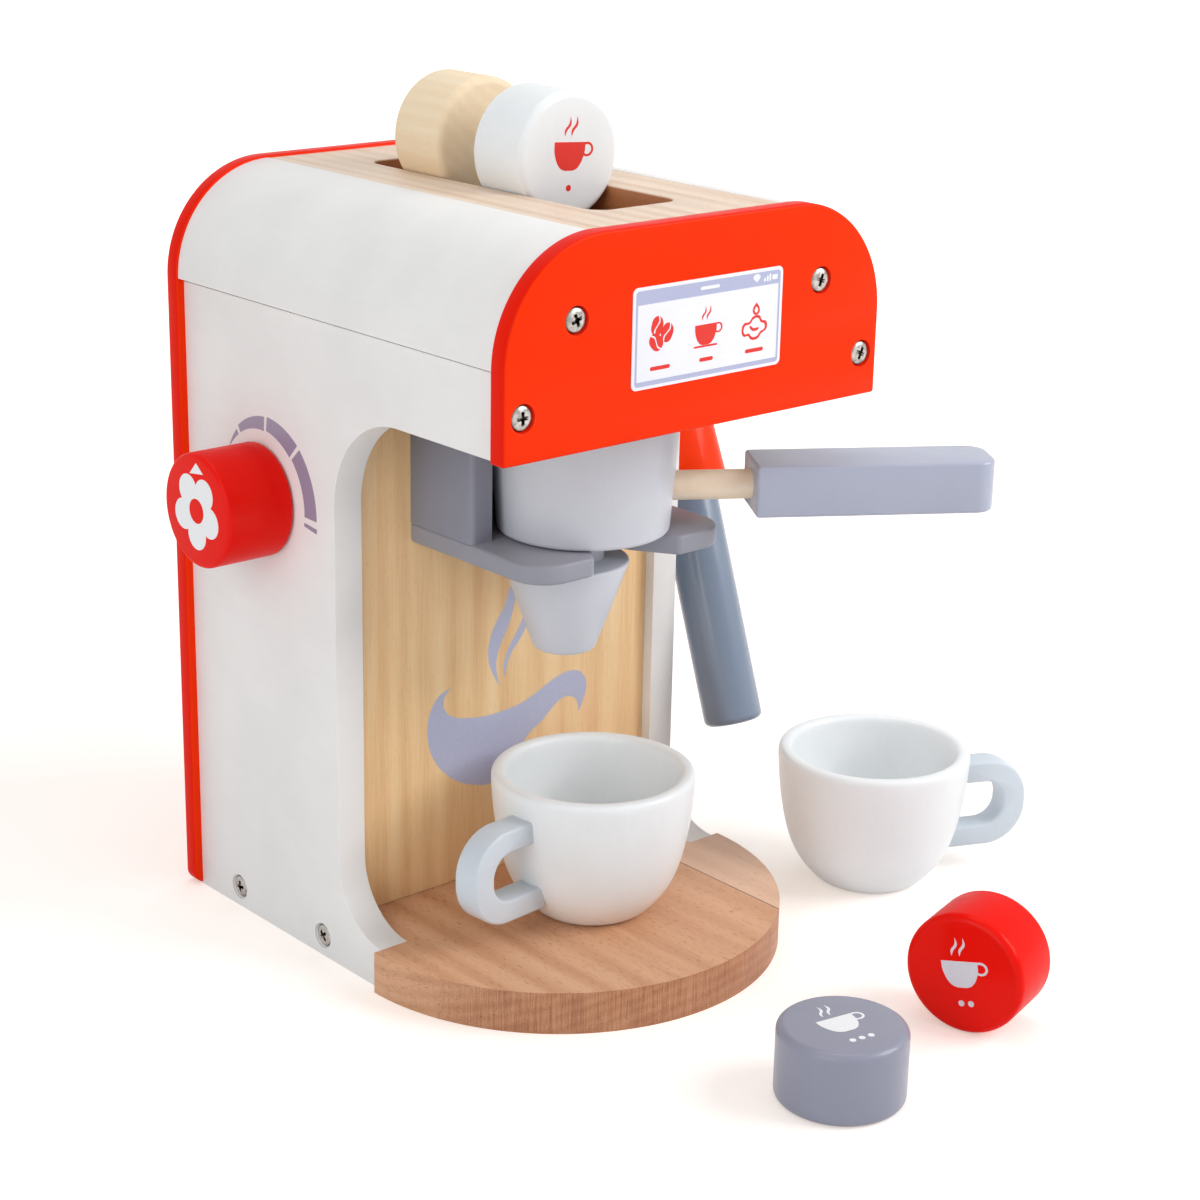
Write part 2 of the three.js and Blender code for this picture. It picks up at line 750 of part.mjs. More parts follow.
// The whole toy.
const model = new THREE.Group();
model.add(
  baseBoard(),
  sidePanel('left', -1),
  sidePanel('right', 1),
  backPanel(),
  innerWall(),
  headFloor(),
  topBoard(),
  shoulder('left', -1),
  shoulder('right', 1),
  frontPanel(),
  displayPlate(),
  brewBlock(),
  forkPlate(),
  portafilter(),
  knobSet(),
  wandSet(),
  cup('inner', innerCupX, innerCupY, baseThickness, innerCupHeading),
  cup('outer', outerCupX, outerCupY, 0, outerCupHeading),
  capsules(),
);
for (const place of screwPlaces) {
  const screw = piece(place.name, screwGeometry(), steel);
  screw.quaternion.copy(facing(place.faces));
  screw.position.set(place.x, place.y, place.z);
  model.add(screw);
}

// The origin lies under the middle of everything, on the floor.
model.updateMatrixWorld(true);
const bounds = new THREE.Box3().setFromObject(model, true);
const middle = bounds.getCenter(new THREE.Vector3());
model.position.set(-middle.x, -middle.y, -bounds.min.z);

export default model;
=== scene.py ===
# Looks of the toy coffee maker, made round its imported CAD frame.
# Shapes are drawn in millimetres from the middle plane (x), the front panel's face (y) and the
# floor (z), and are turned to metres in the frame's own place when a piece is finished.

import math

import bmesh
import bpy
from mathutils import Matrix, Vector


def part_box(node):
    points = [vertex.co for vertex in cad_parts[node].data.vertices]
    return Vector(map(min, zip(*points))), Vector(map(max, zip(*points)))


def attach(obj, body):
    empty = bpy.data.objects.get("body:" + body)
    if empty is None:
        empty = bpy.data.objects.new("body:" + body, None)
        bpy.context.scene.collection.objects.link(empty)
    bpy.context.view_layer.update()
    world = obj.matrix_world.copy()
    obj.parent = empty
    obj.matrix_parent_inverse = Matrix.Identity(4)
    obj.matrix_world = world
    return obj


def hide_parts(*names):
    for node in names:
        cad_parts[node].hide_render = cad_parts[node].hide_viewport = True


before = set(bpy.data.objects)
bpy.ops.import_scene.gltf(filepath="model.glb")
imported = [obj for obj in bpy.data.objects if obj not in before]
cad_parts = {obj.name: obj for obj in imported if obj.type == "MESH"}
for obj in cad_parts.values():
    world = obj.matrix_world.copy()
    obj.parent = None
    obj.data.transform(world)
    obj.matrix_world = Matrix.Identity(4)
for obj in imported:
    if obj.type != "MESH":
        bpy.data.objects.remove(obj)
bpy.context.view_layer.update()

# The drawing's middle plane and front face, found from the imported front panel.
panel_low, panel_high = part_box("front_panel")
METRES = 0.001
TO_FRAME = Matrix.Translation(((panel_low.x + panel_high.x) / 2, panel_low.y, 0)) @ Matrix.Scale(METRES, 4)

# Housing sizes. An X is half a width. A Z, a height, a top and an underside are measured up from the
# floor, and fronts, faces, edges, ends and backs are depths behind the front panel's face.
PANEL_X = 82.5
HEIGHT = 273.8
CORNER = 40
BACK_CORNER = 5
FRONT = 7
BACK_FACE = 182.6
DEPTH = 189
SIDE_X = 79.4
BAY_X = 68
BAY_EDGE = 93.5
BAY_TOP_R = 35
BAY_FOOT_R = 24.6
FOOT_FRONT = 68.8
BASE = 15.4
GLUE_LINE_X = 52.5
HEAD_UNDERSIDE = 204.8
SEAM_Z = 233.8
SEAM_GAP = 1.15
SHOULDER_X = 42.5
SHOULDER_R = 39.2
BOARD_TOP = 273.0
BOARD_THICKNESS = 12
SLOT_X = 18.6
SLOT_FRONT = 32
SLOT_END = 156
SLOT_R = 7
WALL_FACE = 97.9
WALL_BACK = 102.9
BLOCK_X = 44
BLOCK_FRONT = 63.7
RECESS_R = 35.8
FORK_TOP = 157.4
FORK_THICKNESS = 7
FORK_FRONT = 28.5
FORK_CORNER = 12.5
MOUTH_X = 19.5
THROAT_X = 8.5
THROAT_Y = 45
BORE_R = 4.3

# Axes of the portafilter, the knob and the wand, and the gap that a seated piece keeps.
FILTER_Y = 57
KNOB_Y = 136.3
KNOB_Z = 163.7
WAND_X = 95.8
WAND_Y = 116.1
WAND_Z = 172
SEAT_GAP = 0.3

# Steps round round pieces and holes, and how far a full round corner stops short.
LARGE_ROUND = 128
MEDIUM_ROUND = 96
SMALL_ROUND = 64
HOLE_ROUND = 40
SHORT = 0.05


def at(x, y, z, turn=0, axis="Z"):
    """A place in the drawing, turned by so many degrees about one of its axes."""
    return Matrix.Translation((x, y, z)) @ Matrix.Rotation(math.radians(turn), 4, axis)


def upright(across):
    """The turn of a drawing that stands up, with its own X along the given way."""
    x, y = Vector(across), Vector((0, 0, 1))
    return Matrix((x, y, x.cross(y))).transposed().to_4x4()


def frontal(y):
    """A drawing that faces the front, at depth y."""
    return at(0, y, 0) @ upright((1, 0, 0))


def sideways(x):
    """A drawing whose own X is the depth and whose Y is the height, at width x."""
    return at(x, 0, 0) @ upright((0, 1, 0))


# Materials.


def linear(text):
    """Linear colour of an sRGB hex value."""
    channels = [int(text[i:i + 2], 16) / 255 for i in (1, 3, 5)]
    return tuple(c / 12.92 if c <= 0.04045 else ((c + 0.055) / 1.055) ** 2.4 for c in channels) + (1,)


def connect(owner, node, inputs):
    """Gives a node's inputs their values, or a link where the value is another node's output."""
    for name, value in inputs.items():
        if isinstance(value, bpy.types.NodeSocket):
            owner.node_tree.links.new(value, node.inputs[name])
        else:
            node.inputs[name].default_value = value


def add(owner, kind, inputs=None, stops=(), **settings):
    """Adds a node to a material or the world, with its settings, a value or a link for each input
    named, and a colour ramp's stops as place and hex colour, of which a new ramp has two."""
    node = owner.node_tree.nodes.new(kind)
    for name, value in settings.items():
        setattr(node, name, value)
    connect(owner, node, inputs or {})
    for index, (place, colour) in enumerate(stops):
        elements = node.color_ramp.elements
        stop = elements[index] if index < 2 else elements.new(place)
        stop.position = place
        stop.color = linear(colour)
    return node


def new_material(name, shader):
    """A material with a Principled shader whose fixed values are given, and its object coordinates."""
    material = bpy.data.materials.new(name)
    material.use_nodes = True
    material.node_tree.nodes.clear()
    coords = add(material, "ShaderNodeTexCoord")
    principled = add(material, "ShaderNodeBsdfPrincipled", shader)
    add(material, "ShaderNodeOutputMaterial", {"Surface": principled.outputs["BSDF"]})
    return material, coords.outputs["Object"], principled


def pattern(material, coords, along, across, grain="Y", **settings):
    """Noise whose features are so many millimetres long along the grain and wide across it."""
    fine, long = 1 / (across * METRES), 1 / (along * METRES)
    scale = {"X": (long, fine, fine), "Y": (fine, long, fine), "Z": (fine, fine, long)}[grain]
    mapped = add(material, "ShaderNodeMapping", {"Vector": coords, "Scale": scale})
    inputs = {"Vector": mapped.outputs["Vector"], "Scale": 1.0, "Detail": 3.0, "Roughness": 0.55}
    inputs.update(settings)
    return add(material, "ShaderNodeTexNoise", inputs).outputs["Fac"]


def edge_mask(material, radius):
    """White where the surface turns within so many millimetres, as on a rounded edge."""
    rounded = add(material, "ShaderNodeBevel", {"Radius": radius * METRES}, samples=4)
    plain = add(material, "ShaderNodeNewGeometry")
    dot = add(material, "ShaderNodeVectorMath", {0: rounded.outputs["Normal"], 1: plain.outputs["Normal"]},
              operation="DOT_PRODUCT")
    mask = add(material, "ShaderNodeMapRange", {
        "Value": dot.outputs["Value"], "From Min": 0.995, "From Max": 0.86, "To Min": 0.0, "To Max": 1.0})
    return mask.outputs["Result"]


def paint(name, colour, edge_colour, roughness=0.38, grain="Y", coat=0.0, peel=0.012, shine=0.3, cut=None):
    """Spray lacquer on sanded wood: even colour with faint cloudy tone, lighter at rounded edges, partly
    worn thin and partly a painted highlight.
    The grain shows through as long low ridges, and the lacquer itself has a fine orange peel.
    Cut is a darker colour painted on a panel's narrow sides as shade."""
    material, coords, shader = new_material(name, {
        "IOR": 1.5, "Specular IOR Level": shine, "Coat Weight": coat, "Coat Roughness": 0.12,
        "Coat IOR": 1.5})
    cloud = pattern(material, coords, 34, 34, grain)
    tone = add(material, "ShaderNodeMapRange", {
        "Value": cloud, "From Min": 0.3, "From Max": 0.7, "To Min": 0.965, "To Max": 1.03})
    ridges = pattern(material, coords, 26, 0.9, grain, Detail=4.0, Roughness=0.6)
    streak = add(material, "ShaderNodeMapRange", {
        "Value": ridges, "From Min": 0.35, "From Max": 0.7, "To Min": 0.99, "To Max": 1.008})
    both = add(material, "ShaderNodeMath", {0: tone.outputs["Result"], 1: streak.outputs["Result"]},
               operation="MULTIPLY")
    base = linear(colour)[:3]
    # Painted shade: faces that do not look to the front or back are mixed towards the darker cut colour.
    if cut is not None:
        own = add(material, "ShaderNodeTexCoord")
        normals = add(material, "ShaderNodeSeparateXYZ", {"Vector": own.outputs["Normal"]})
        facing = add(material, "ShaderNodeMath", {0: normals.outputs["Y"]}, operation="ABSOLUTE")
        narrow = add(material, "ShaderNodeMapRange", {
            "Value": facing.outputs["Value"], "From Min": 0.9, "From Max": 0.5, "To Min": 0.0,
            "To Max": 1.0})
        side_shade = add(material, "ShaderNodeMix", {
            "Factor": narrow.outputs["Result"], "A": linear(colour), "B": linear(cut)}, data_type="RGBA")
        base = side_shade.outputs["Result"]
    tinted = add(material, "ShaderNodeVectorMath", {0: base, "Scale": both.outputs["Value"]},
                 operation="SCALE")
    # Lighter towards rounded edges, in patches: partly lacquer worn thin and partly a painted highlight.
    wear_and_highlight = add(material, "ShaderNodeMapRange", {
        "Value": pattern(material, coords, 6, 6, grain), "From Min": 0.3, "From Max": 0.7, "To Min": 0.15,
        "To Max": 0.5})
    worn_and_highlit = add(material, "ShaderNodeMath", {
        0: edge_mask(material, 0.9), 1: wear_and_highlight.outputs["Result"]}, operation="MULTIPLY")
    mixed = add(material, "ShaderNodeMix", {
        "Factor": worn_and_highlit.outputs["Value"], "A": tinted.outputs["Vector"], "B": linear(edge_colour)},
        data_type="RGBA")
    gloss = add(material, "ShaderNodeMapRange", {
        "Value": pattern(material, coords, 9, 9, grain), "From Min": 0.3, "From Max": 0.7,
        "To Min": roughness - 0.04, "To Max": roughness + 0.05})
    orange = pattern(material, coords, 1.4, 1.4, grain, Detail=1.0)
    low = add(material, "ShaderNodeBump", {"Height": ridges, "Strength": 0.5, "Distance": 0.02 * METRES})
    high = add(material, "ShaderNodeBump", {
        "Height": orange, "Strength": 0.5, "Distance": peel * METRES, "Normal": low.outputs["Normal"]})
    connect(material, shader, {
        "Base Color": mixed.outputs["Result"], "Roughness": gloss.outputs["Result"],
        "Normal": high.outputs["Normal"]})
    return material


def wood(name, tones, pith, grain, ring, flecks, ends=0.8, stave=None, upright_shade_tone=None):
    """Sanded timber with a thin oil or water lacquer: growth rings round a pith that lies outside
    the board, long pores and short darker flecks along the grain, and end grain where it is cut
    across. A stave seam is a thin dark glue line across X, with another tone beyond it. The upright
    tone is a warm brown multiplied onto upright faces as painted shade and bounce light."""
    material, coords, shader = new_material(name, {"IOR": 1.46, "Coat Weight": 0.12, "Coat Roughness": 0.35})
    squeeze = {"X": (0.04, 1, 1), "Y": (1, 0.04, 1), "Z": (1, 1, 0.04)}[grain]
    centre = tuple(-c * METRES * s for c, s in zip(pith, squeeze))
    round_pith = add(material, "ShaderNodeMapping", {
        "Vector": coords, "Location": centre, "Scale": squeeze})
    # At a scale of 1, the rings of a wave texture lie pi / 10 metres apart.
    rings = add(material, "ShaderNodeTexWave", {
        "Vector": round_pith.outputs["Vector"], "Scale": math.pi / (10 * ring * METRES), "Distortion": 5.0,
        "Detail": 2.5, "Detail Scale": 0.35, "Detail Roughness": 0.55},
        wave_type="RINGS", rings_direction=grain, wave_profile="SIN")
    broad = pattern(material, coords, 150, 8, grain)
    fine = pattern(material, coords, 22, 0.55, grain, Detail=5.0, Roughness=0.65)
    part = add(material, "ShaderNodeMath", {0: rings.outputs["Fac"], 1: 0.13}, operation="MULTIPLY")
    more = add(material, "ShaderNodeMath", {0: broad, 1: 0.5, 2: part.outputs["Value"]},
               operation="MULTIPLY_ADD")
    mix = add(material, "ShaderNodeMath", {0: fine, 1: 0.35, 2: more.outputs["Value"]},
              operation="MULTIPLY_ADD")
    body = add(material, "ShaderNodeValToRGB", {"Fac": mix.outputs["Value"]},
               [(0.28, tones[2]), (0.52, tones[1]), (0.76, tones[0])])
    dots = pattern(material, coords, 3.6, 0.5, grain, Detail=2.0, Roughness=0.5)
    mark = add(material, "ShaderNodeMapRange", {
        "Value": dots, "From Min": 0.60, "From Max": 0.70, "To Min": 0.0, "To Max": flecks})
    flecked = add(material, "ShaderNodeMix", {
        "Factor": mark.outputs["Result"], "A": body.outputs["Color"], "B": linear(tones[3])},
        data_type="RGBA")
    colour = flecked.outputs["Result"]
    if stave is not None:
        parts = add(material, "ShaderNodeSeparateXYZ", {"Vector": coords})
        away = add(material, "ShaderNodeMath", {0: parts.outputs["X"], 1: stave * METRES},
                   operation="SUBTRACT")
        beyond = add(material, "ShaderNodeMapRange", {
            "Value": away.outputs["Value"], "From Min": -0.05 * METRES, "From Max": 0.05 * METRES,
            "To Min": 0.0, "To Max": 0.28})
        toned = add(material, "ShaderNodeMix", {
            "Factor": beyond.outputs["Result"], "A": colour, "B": linear("#f6e2d0")}, data_type="RGBA")
        near = add(material, "ShaderNodeMath", {0: away.outputs["Value"]}, operation="ABSOLUTE")
        line = add(material, "ShaderNodeMapRange", {
            "Value": near.outputs["Value"], "From Min": 0.16 * METRES, "From Max": 0.5 * METRES,
            "To Min": 0.75, "To Max": 0.0})
        glued = add(material, "ShaderNodeMix", {
            "Factor": line.outputs["Result"], "A": toned.outputs["Result"], "B": linear("#6b4026")},
            data_type="RGBA")
        colour = glued.outputs["Result"]
    own = add(material, "ShaderNodeTexCoord")
    normals = add(material, "ShaderNodeSeparateXYZ", {"Vector": own.outputs["Normal"]})
    across = add(material, "ShaderNodeMath", {0: normals.outputs[grain]}, operation="ABSOLUTE")
    tall = pattern(material, coords, 16, 0.5, "Z" if grain == "Y" else "Y", Detail=4.0, Roughness=0.6)
    rays = add(material, "ShaderNodeValToRGB", {"Fac": tall}, [(0.36, "#b4917a"), (0.62, "#e2cdbd")])
    cut = add(material, "ShaderNodeMapRange", {
        "Value": across.outputs["Value"], "From Min": 0.12, "From Max": 0.6, "To Min": 0.0, "To Max": ends})
    ended = add(material, "ShaderNodeMix", {
        "Factor": cut.outputs["Result"], "A": colour, "B": rays.outputs["Color"]}, data_type="RGBA",
        blend_type="MULTIPLY")
    colour = ended.outputs["Result"]
    # Painted shade and bounce light: upright faces, such as the slot's sides, are multiplied by a warm
    # brown.
    if upright_shade_tone is not None:
        flat = add(material, "ShaderNodeMath", {0: normals.outputs["Z"]}, operation="ABSOLUTE")
        steep = add(material, "ShaderNodeMapRange", {
            "Value": flat.outputs["Value"], "From Min": 0.7, "From Max": 0.2, "To Min": 0.0, "To Max": 1.0})
        upright_shaded = add(material, "ShaderNodeMix", {
            "Factor": steep.outputs["Result"], "A": colour, "B": linear(upright_shade_tone)}, data_type="RGBA",
            blend_type="MULTIPLY")
        colour = upright_shaded.outputs["Result"]
    dull = add(material, "ShaderNodeMapRange", {
        "Value": fine, "From Min": 0.3, "From Max": 0.7, "To Min": 0.46, "To Max": 0.62})
    low = add(material, "ShaderNodeBump", {"Height": fine, "Strength": 0.6, "Distance": 0.04 * METRES})
    pores = add(material, "ShaderNodeBump", {
        "Height": mark.outputs["Result"], "Strength": 0.5, "Distance": 0.05 * METRES,
        "Normal": low.outputs["Normal"]}, invert=True)
    connect(material, shader, {
        "Base Color": colour, "Roughness": dull.outputs["Result"], "Normal": pores.outputs["Normal"]})
    return material


def ink(name, colour):
    """Screen-printed ink: a thin even film with tiny pinholes and a soft sheen."""
    material, coords, shader = new_material(name, {"IOR": 1.48})
    holes = pattern(material, coords, 0.45, 0.45, Detail=1.0)
    thin = add(material, "ShaderNodeMapRange", {
        "Value": holes, "From Min": 0.3, "From Max": 0.75, "To Min": 1.04, "To Max": 0.93})
    cloudy = add(material, "ShaderNodeVectorMath", {
        0: linear(colour)[:3], "Scale": thin.outputs["Result"]}, operation="SCALE")
    gloss = add(material, "ShaderNodeMapRange", {
        "Value": holes, "From Min": 0.3, "From Max": 0.7, "To Min": 0.37, "To Max": 0.49})
    film = add(material, "ShaderNodeBump", {"Height": holes, "Strength": 0.3, "Distance": 0.01 * METRES})
    connect(material, shader, {
        "Base Color": cloudy.outputs["Vector"], "Roughness": gloss.outputs["Result"],
        "Normal": film.outputs["Normal"]})
    return material


def plated_steel(name):
    """Zinc-plated steel of a wood screw: bright grey with fine turning marks and dull blotches, and
    with painted shade that darkens the cross recess and the narrow ring round the head."""
    material, coords, shader = new_material(name, {"Metallic": 1.0})
    blotch = pattern(material, coords, 1.8, 1.8)
    zinc = add(material, "ShaderNodeValToRGB", {"Fac": blotch}, [(0.3, "#8a8784"), (0.7, "#c8c4bf")])
    # Painted shade: ambient occlusion darkens the zinc in the cross recess and in the ring round the head.
    hollow = add(material, "ShaderNodeAmbientOcclusion", {"Distance": 1.6 * METRES}, samples=8)
    recess_shade = add(material, "ShaderNodeValToRGB", {"Fac": hollow.outputs["AO"]},
                 [(0.4, "#2b2826"), (0.85, "#ffffff")])
    recess_shaded = add(material, "ShaderNodeMix", {
        "Factor": 1.0, "A": zinc.outputs["Color"], "B": recess_shade.outputs["Color"]}, data_type="RGBA",
        blend_type="MULTIPLY")
    marks = pattern(material, coords, 0.5, 0.12, Detail=2.0)
    dull = add(material, "ShaderNodeMapRange", {
        "Value": blotch, "From Min": 0.3, "From Max": 0.7, "To Min": 0.26, "To Max": 0.44})
    bump = add(material, "ShaderNodeBump", {"Height": marks, "Strength": 0.4, "Distance": 0.01 * METRES})
    connect(material, shader, {
        "Base Color": recess_shaded.outputs["Result"], "Roughness": dull.outputs["Result"],
        "Normal": bump.outputs["Normal"]})
    return material


# Timber: tan oiled beech with clear rings and a glue line, paler lacquered boards with painted warm
# shade in the slot, a honey wall with straight upright grain, and turned pieces that show hardly any figure.
BEECH = wood("oiled_beech", ("#e2b795", "#d6a47f", "#c18b66", "#8f5a38"), (-30, 0, -140), "Y", 4.2, 0.55,
             stave=GLUE_LINE_X + TO_FRAME.translation.x / METRES)
# The board's upright faces get a painted warm shade, for the light thrown back inside the slot.
PLANED = wood("lacquered_beech_board", ("#ecdccc", "#e2ccb6", "#cfb096", "#b48a66"), (60, 0, 120), "Y",
              5.0, 0.4, ends=0.4, upright_shade_tone="#d09468")
WALL = wood("lacquered_rubberwood_wall", ("#fbe1b4", "#f4cf9c", "#e2b47e", "#bd8a54"), (90, 300, 0), "Z",
            6.0, 0.2)
TURNED = wood("turned_rubberwood", ("#f6e5c9", "#f1dcbb", "#ecd3ae", "#d8bc92"), (20, 0, 380), "Y", 5.0,
              0.2, ends=0.1)
DOWEL = wood("beech_dowel", ("#fbeedd", "#f6e4cb", "#efd7b8", "#d4b48a"), (0, 20, 380), "X", 5.0, 0.2,
             ends=0.1)

# Lacquers: orange red on the panels and a deeper red on turned pieces, neutral white, and cool greys
# and blues, each a little lighter at rounded edges, partly worn thin and partly a painted highlight.
WHITE = paint("white_satin_lacquer", "#ebeae8", "#f8f7f5", shine=0.2)
# The red panels' narrow sides get a darker red as painted shade.
RED = paint("red_satin_lacquer", "#fb3303", "#ff5530", 0.36, "Z", shine=0.06, cut="#ea1b02")
RED_ROUND = paint("red_lacquer_on_turned_wood", "#ec1205", "#ff4426", 0.4, "X", coat=0.15, shine=0.03)
HOLDER_RED = paint("orange_red_lacquer_on_turned_wood", "#fb3a08", "#ff5530", 0.4, "Z", coat=0.2,
                   shine=0.05)
BLOCK_GREY = paint("dark_grey_lacquer", "#888a97", "#a4a7b4", 0.42, "X", shine=0.2)
FORK_GREY = paint("mid_grey_lacquer", "#92949f", "#b3b7c2", 0.42, "Y")
GRIP_GREY = paint("blue_grey_lacquer", "#a7adc0", "#bfc4d2", 0.34, "X", coat=0.25, shine=0.5)
CAPSULE_GREY = paint("capsule_grey_lacquer", "#8e90a1", "#a9abb8", 0.4, "Z", coat=0.3)
CUP_GREY = paint("light_grey_lacquer", "#cbced6", "#dcdee3", 0.36, "Z", shine=0.4)
WAND_BLUE = paint("slate_blue_lacquer", "#76869b", "#93a1b2", 0.36, "Z", coat=0.45, shine=0.5)
HANDLE_BLUE = paint("pale_blue_lacquer", "#cfd8e0", "#e6ecf0", 0.38, "X")
CUP_WHITE = paint("white_lacquer_on_turned_wood", "#edf0f1", "#fafbfb", 0.4, "Z", coat=0.15)
FILM = paint("white_printed_film", "#f0f0f8", "#ffffff", 0.35, "X", peel=0.004)

# Inks, a shade duller than the lacquer beside them, and the screws' steel.
WALL_INK = ink("pale_lavender_ink", "#b7bbd5")
DIAL_INK = ink("mauve_ink", "#978fa8")
SCREEN_INK = ink("lavender_ink", "#b2b6d4")
RED_INK = ink("red_ink", "#e2200e")
WHITE_INK = ink("white_ink", "#eef0f2")
PALE_INK = ink("pale_grey_ink", "#d9d6df")
STEEL = plated_steel("plated_steel")


# Shapes.


def placed(bm, place):
    """The shape, moved and turned to its place."""
    bmesh.ops.transform(bm, matrix=place, verts=bm.verts)
    return bm


def rectangle(left, low, right, high, radii=(0, 0, 0, 0)):
    """Corners of a rectangle with their radii, from the low left one round to the high left one."""
    return list(zip((left, right, right, left), (low, low, high, high), radii))


def mirrored(half):
    """Corners of an outline from those of its right half, which are listed from front to back."""
    return half + [(-u, v, radius) for u, v, radius in reversed(half)]


def outline(corners, fineness=16):
    """A flat face from corners of (u, v, radius), with the ones that have a radius rounded."""
    bm = bmesh.new()
    verts = [bm.verts.new((u, v, 0)) for u, v, _ in corners]
    bm.faces.new(verts)
    for vert, (_, _, radius) in zip(verts, corners):
        if radius > 0:
            bmesh.ops.bevel(bm, geom=[vert], offset=radius, offset_type="OFFSET", affect="VERTICES",
                            segments=max(3, round(fineness * radius ** 0.5 / 3)), profile=0.5, material=-1)
    return bm


def thicken(bm, thickness):
    """Makes a flat drawing a board of so many millimetres."""
    made = bmesh.ops.extrude_face_region(bm, geom=bm.faces[:])
    tops = [v for v in made["geom"] if isinstance(v, bmesh.types.BMVert)]
    bmesh.ops.translate(bm, verts=tops, vec=(0, 0, thickness))
    bmesh.ops.recalc_face_normals(bm, faces=bm.faces[:])
    return bm


def soften(bm, radius, segments=3, where=None):
    """Rounds the sharp edges, or those of them whose middle passes a test."""
    sharp = []
    for edge in bm.edges:
        if len(edge.link_faces) == 2 and edge.calc_face_angle() > 0.7:
            middle = (edge.verts[0].co + edge.verts[1].co) / 2
            if where is None or where(middle):
                sharp.append(edge)
    bmesh.ops.bevel(bm, geom=sharp, offset=radius, offset_type="OFFSET", affect="EDGES", segments=segments,
                    profile=0.5, material=-1, clamp_overlap=True)
    return bm


def board(corners, thickness, place, edge, fineness=16, where=None):
    """A board cut to an outline, with all its edges or those that pass a test eased, in its place."""
    return placed(soften(thicken(outline(corners, fineness), thickness), edge, where=where), place)


def turned(profile, steps):
    """A piece turned round Z from its profile of radius and height, upwards from pole to pole."""
    bm = bmesh.new()
    verts = [bm.verts.new((radius, 0, height)) for radius, height in profile]
    edges = [bm.edges.new(pair) for pair in zip(verts, verts[1:])]
    bmesh.ops.spin(bm, geom=verts + edges, cent=(0, 0, 0), axis=(0, 0, 1), angle=2 * math.pi, steps=steps,
                   use_merge=True)
    bmesh.ops.remove_doubles(bm, verts=bm.verts[:], dist=0.0005)
    bmesh.ops.recalc_face_normals(bm, faces=bm.faces[:])
    return bm


def rod(low, high, radius, top_radius=None, steps=MEDIUM_ROUND):
    """A round piece between two heights, straight or tapered."""
    if top_radius is None:
        top_radius = radius
    return turned([(0, low), (radius, low), (top_radius, high), (0, high)], steps)


def joined(shapes):
    """Several shapes as one."""
    whole = bmesh.new()
    for shape in shapes:
        mesh = bpy.data.meshes.new("part")
        shape.to_mesh(mesh)
        shape.free()
        whole.from_mesh(mesh)
        bpy.data.meshes.remove(mesh)
    return whole


def held(bm, name):
    """The shape as an object of the scene."""
    mesh = bpy.data.meshes.new(name)
    bm.to_mesh(mesh)
    bm.free()
    made = bpy.data.objects.new(name, mesh)
    bpy.context.scene.collection.objects.link(made)
    return made


def carve(bm, cutters):
    """Takes the cutters' shapes out of a closed shape."""
    body, tool = held(bm, "body"), held(joined(cutters), "tool")
    cutting = body.modifiers.new("cut", "BOOLEAN")
    cutting.operation = "DIFFERENCE"
    cutting.solver = "EXACT"
    cutting.object = tool
    evaluated = body.evaluated_get(bpy.context.evaluated_depsgraph_get())
    result = bmesh.new()
    result.from_mesh(evaluated.to_mesh())
    evaluated.to_mesh_clear()
    for made in (body, tool):
        mesh = made.data
        bpy.data.objects.remove(made)
        bpy.data.meshes.remove(mesh)
    return result


def finish(bm, name, body, material, nodes=(), smooth=32, levels=0):
    """Turns a shape to metres in the frame, and makes it a piece that rides on its body. Points that a
    cut or a rounding left on top of each other are merged first."""
    bmesh.ops.remove_doubles(bm, verts=bm.verts[:], dist=0.001)
    bmesh.ops.dissolve_degenerate(bm, edges=bm.edges[:], dist=0.001)
    made = held(placed(bm, TO_FRAME), name)
    made.data.polygons.foreach_set("use_smooth", [True] * len(made.data.polygons))
    made.data.set_sharp_from_angle(angle=math.radians(smooth))
    made.data.materials.append(material)
    if levels:
        rounding = made.modifiers.new("rounding", "SUBSURF")
        rounding.levels = levels
        rounding.render_levels = levels
    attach(made, body)
    if nodes:
        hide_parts(*nodes)


# Screws: where they sit as a half width and a height, and then the word in each one's CAD node's
# name, the middle of its head, and the way it faces.

SHOULDER_SCREW = (53.7, 247.3)
SIDE_SCREW = (74.9, 219.5)
LOWER_SCREW = (74.9, 34)
BASE_SCREW = (SIDE_X, BASE / 2)
BASE_SCREW_FRONT = 103.9
BASE_SCREW_BACK = 157.2
SCREWS = []
for side, sign in (("left", -1), ("right", 1)):
    for word, (x, z), y, way in (
            ("front_shoulder", SHOULDER_SCREW, 0, "front"), ("front_side", SIDE_SCREW, 0, "front"),
            ("back_shoulder", SHOULDER_SCREW, DEPTH, "back"), ("back_upper", SIDE_SCREW, DEPTH, "back"),
            ("back_lower", LOWER_SCREW, DEPTH, "back"), ("base_front", BASE_SCREW, BASE_SCREW_FRONT, side),
            ("base_back", BASE_SCREW, BASE_SCREW_BACK, side)):
        SCREWS.append((f"{word}_{side}", (sign * x, y, z), way))
FACING = {
    "front": upright((1, 0, 0)), "back": upright((-1, 0, 0)),
    "left": upright((0, -1, 0)), "right": upright((0, 1, 0)),
}
SCREW_R = 4.1
SINK_PROFILE = [(0, -4.4), (2.2, -4.4), (4.75, -0.5), (4.75, 1), (0, 1)]
SCREW_PROFILE = [
    (0, -25), (1.2, -22), (1.8, -21), (1.8, -4.2), (SCREW_R - 0.25, -1.35), (SCREW_R, -1.1),
    (SCREW_R, -0.85), (3.7, -0.5), (2.9, -0.22), (1.7, -0.06), (0, -0.02),
]
CROSS_X = 2.6
CROSS_Y = 0.7
CROSS_DEPTH = 1.6


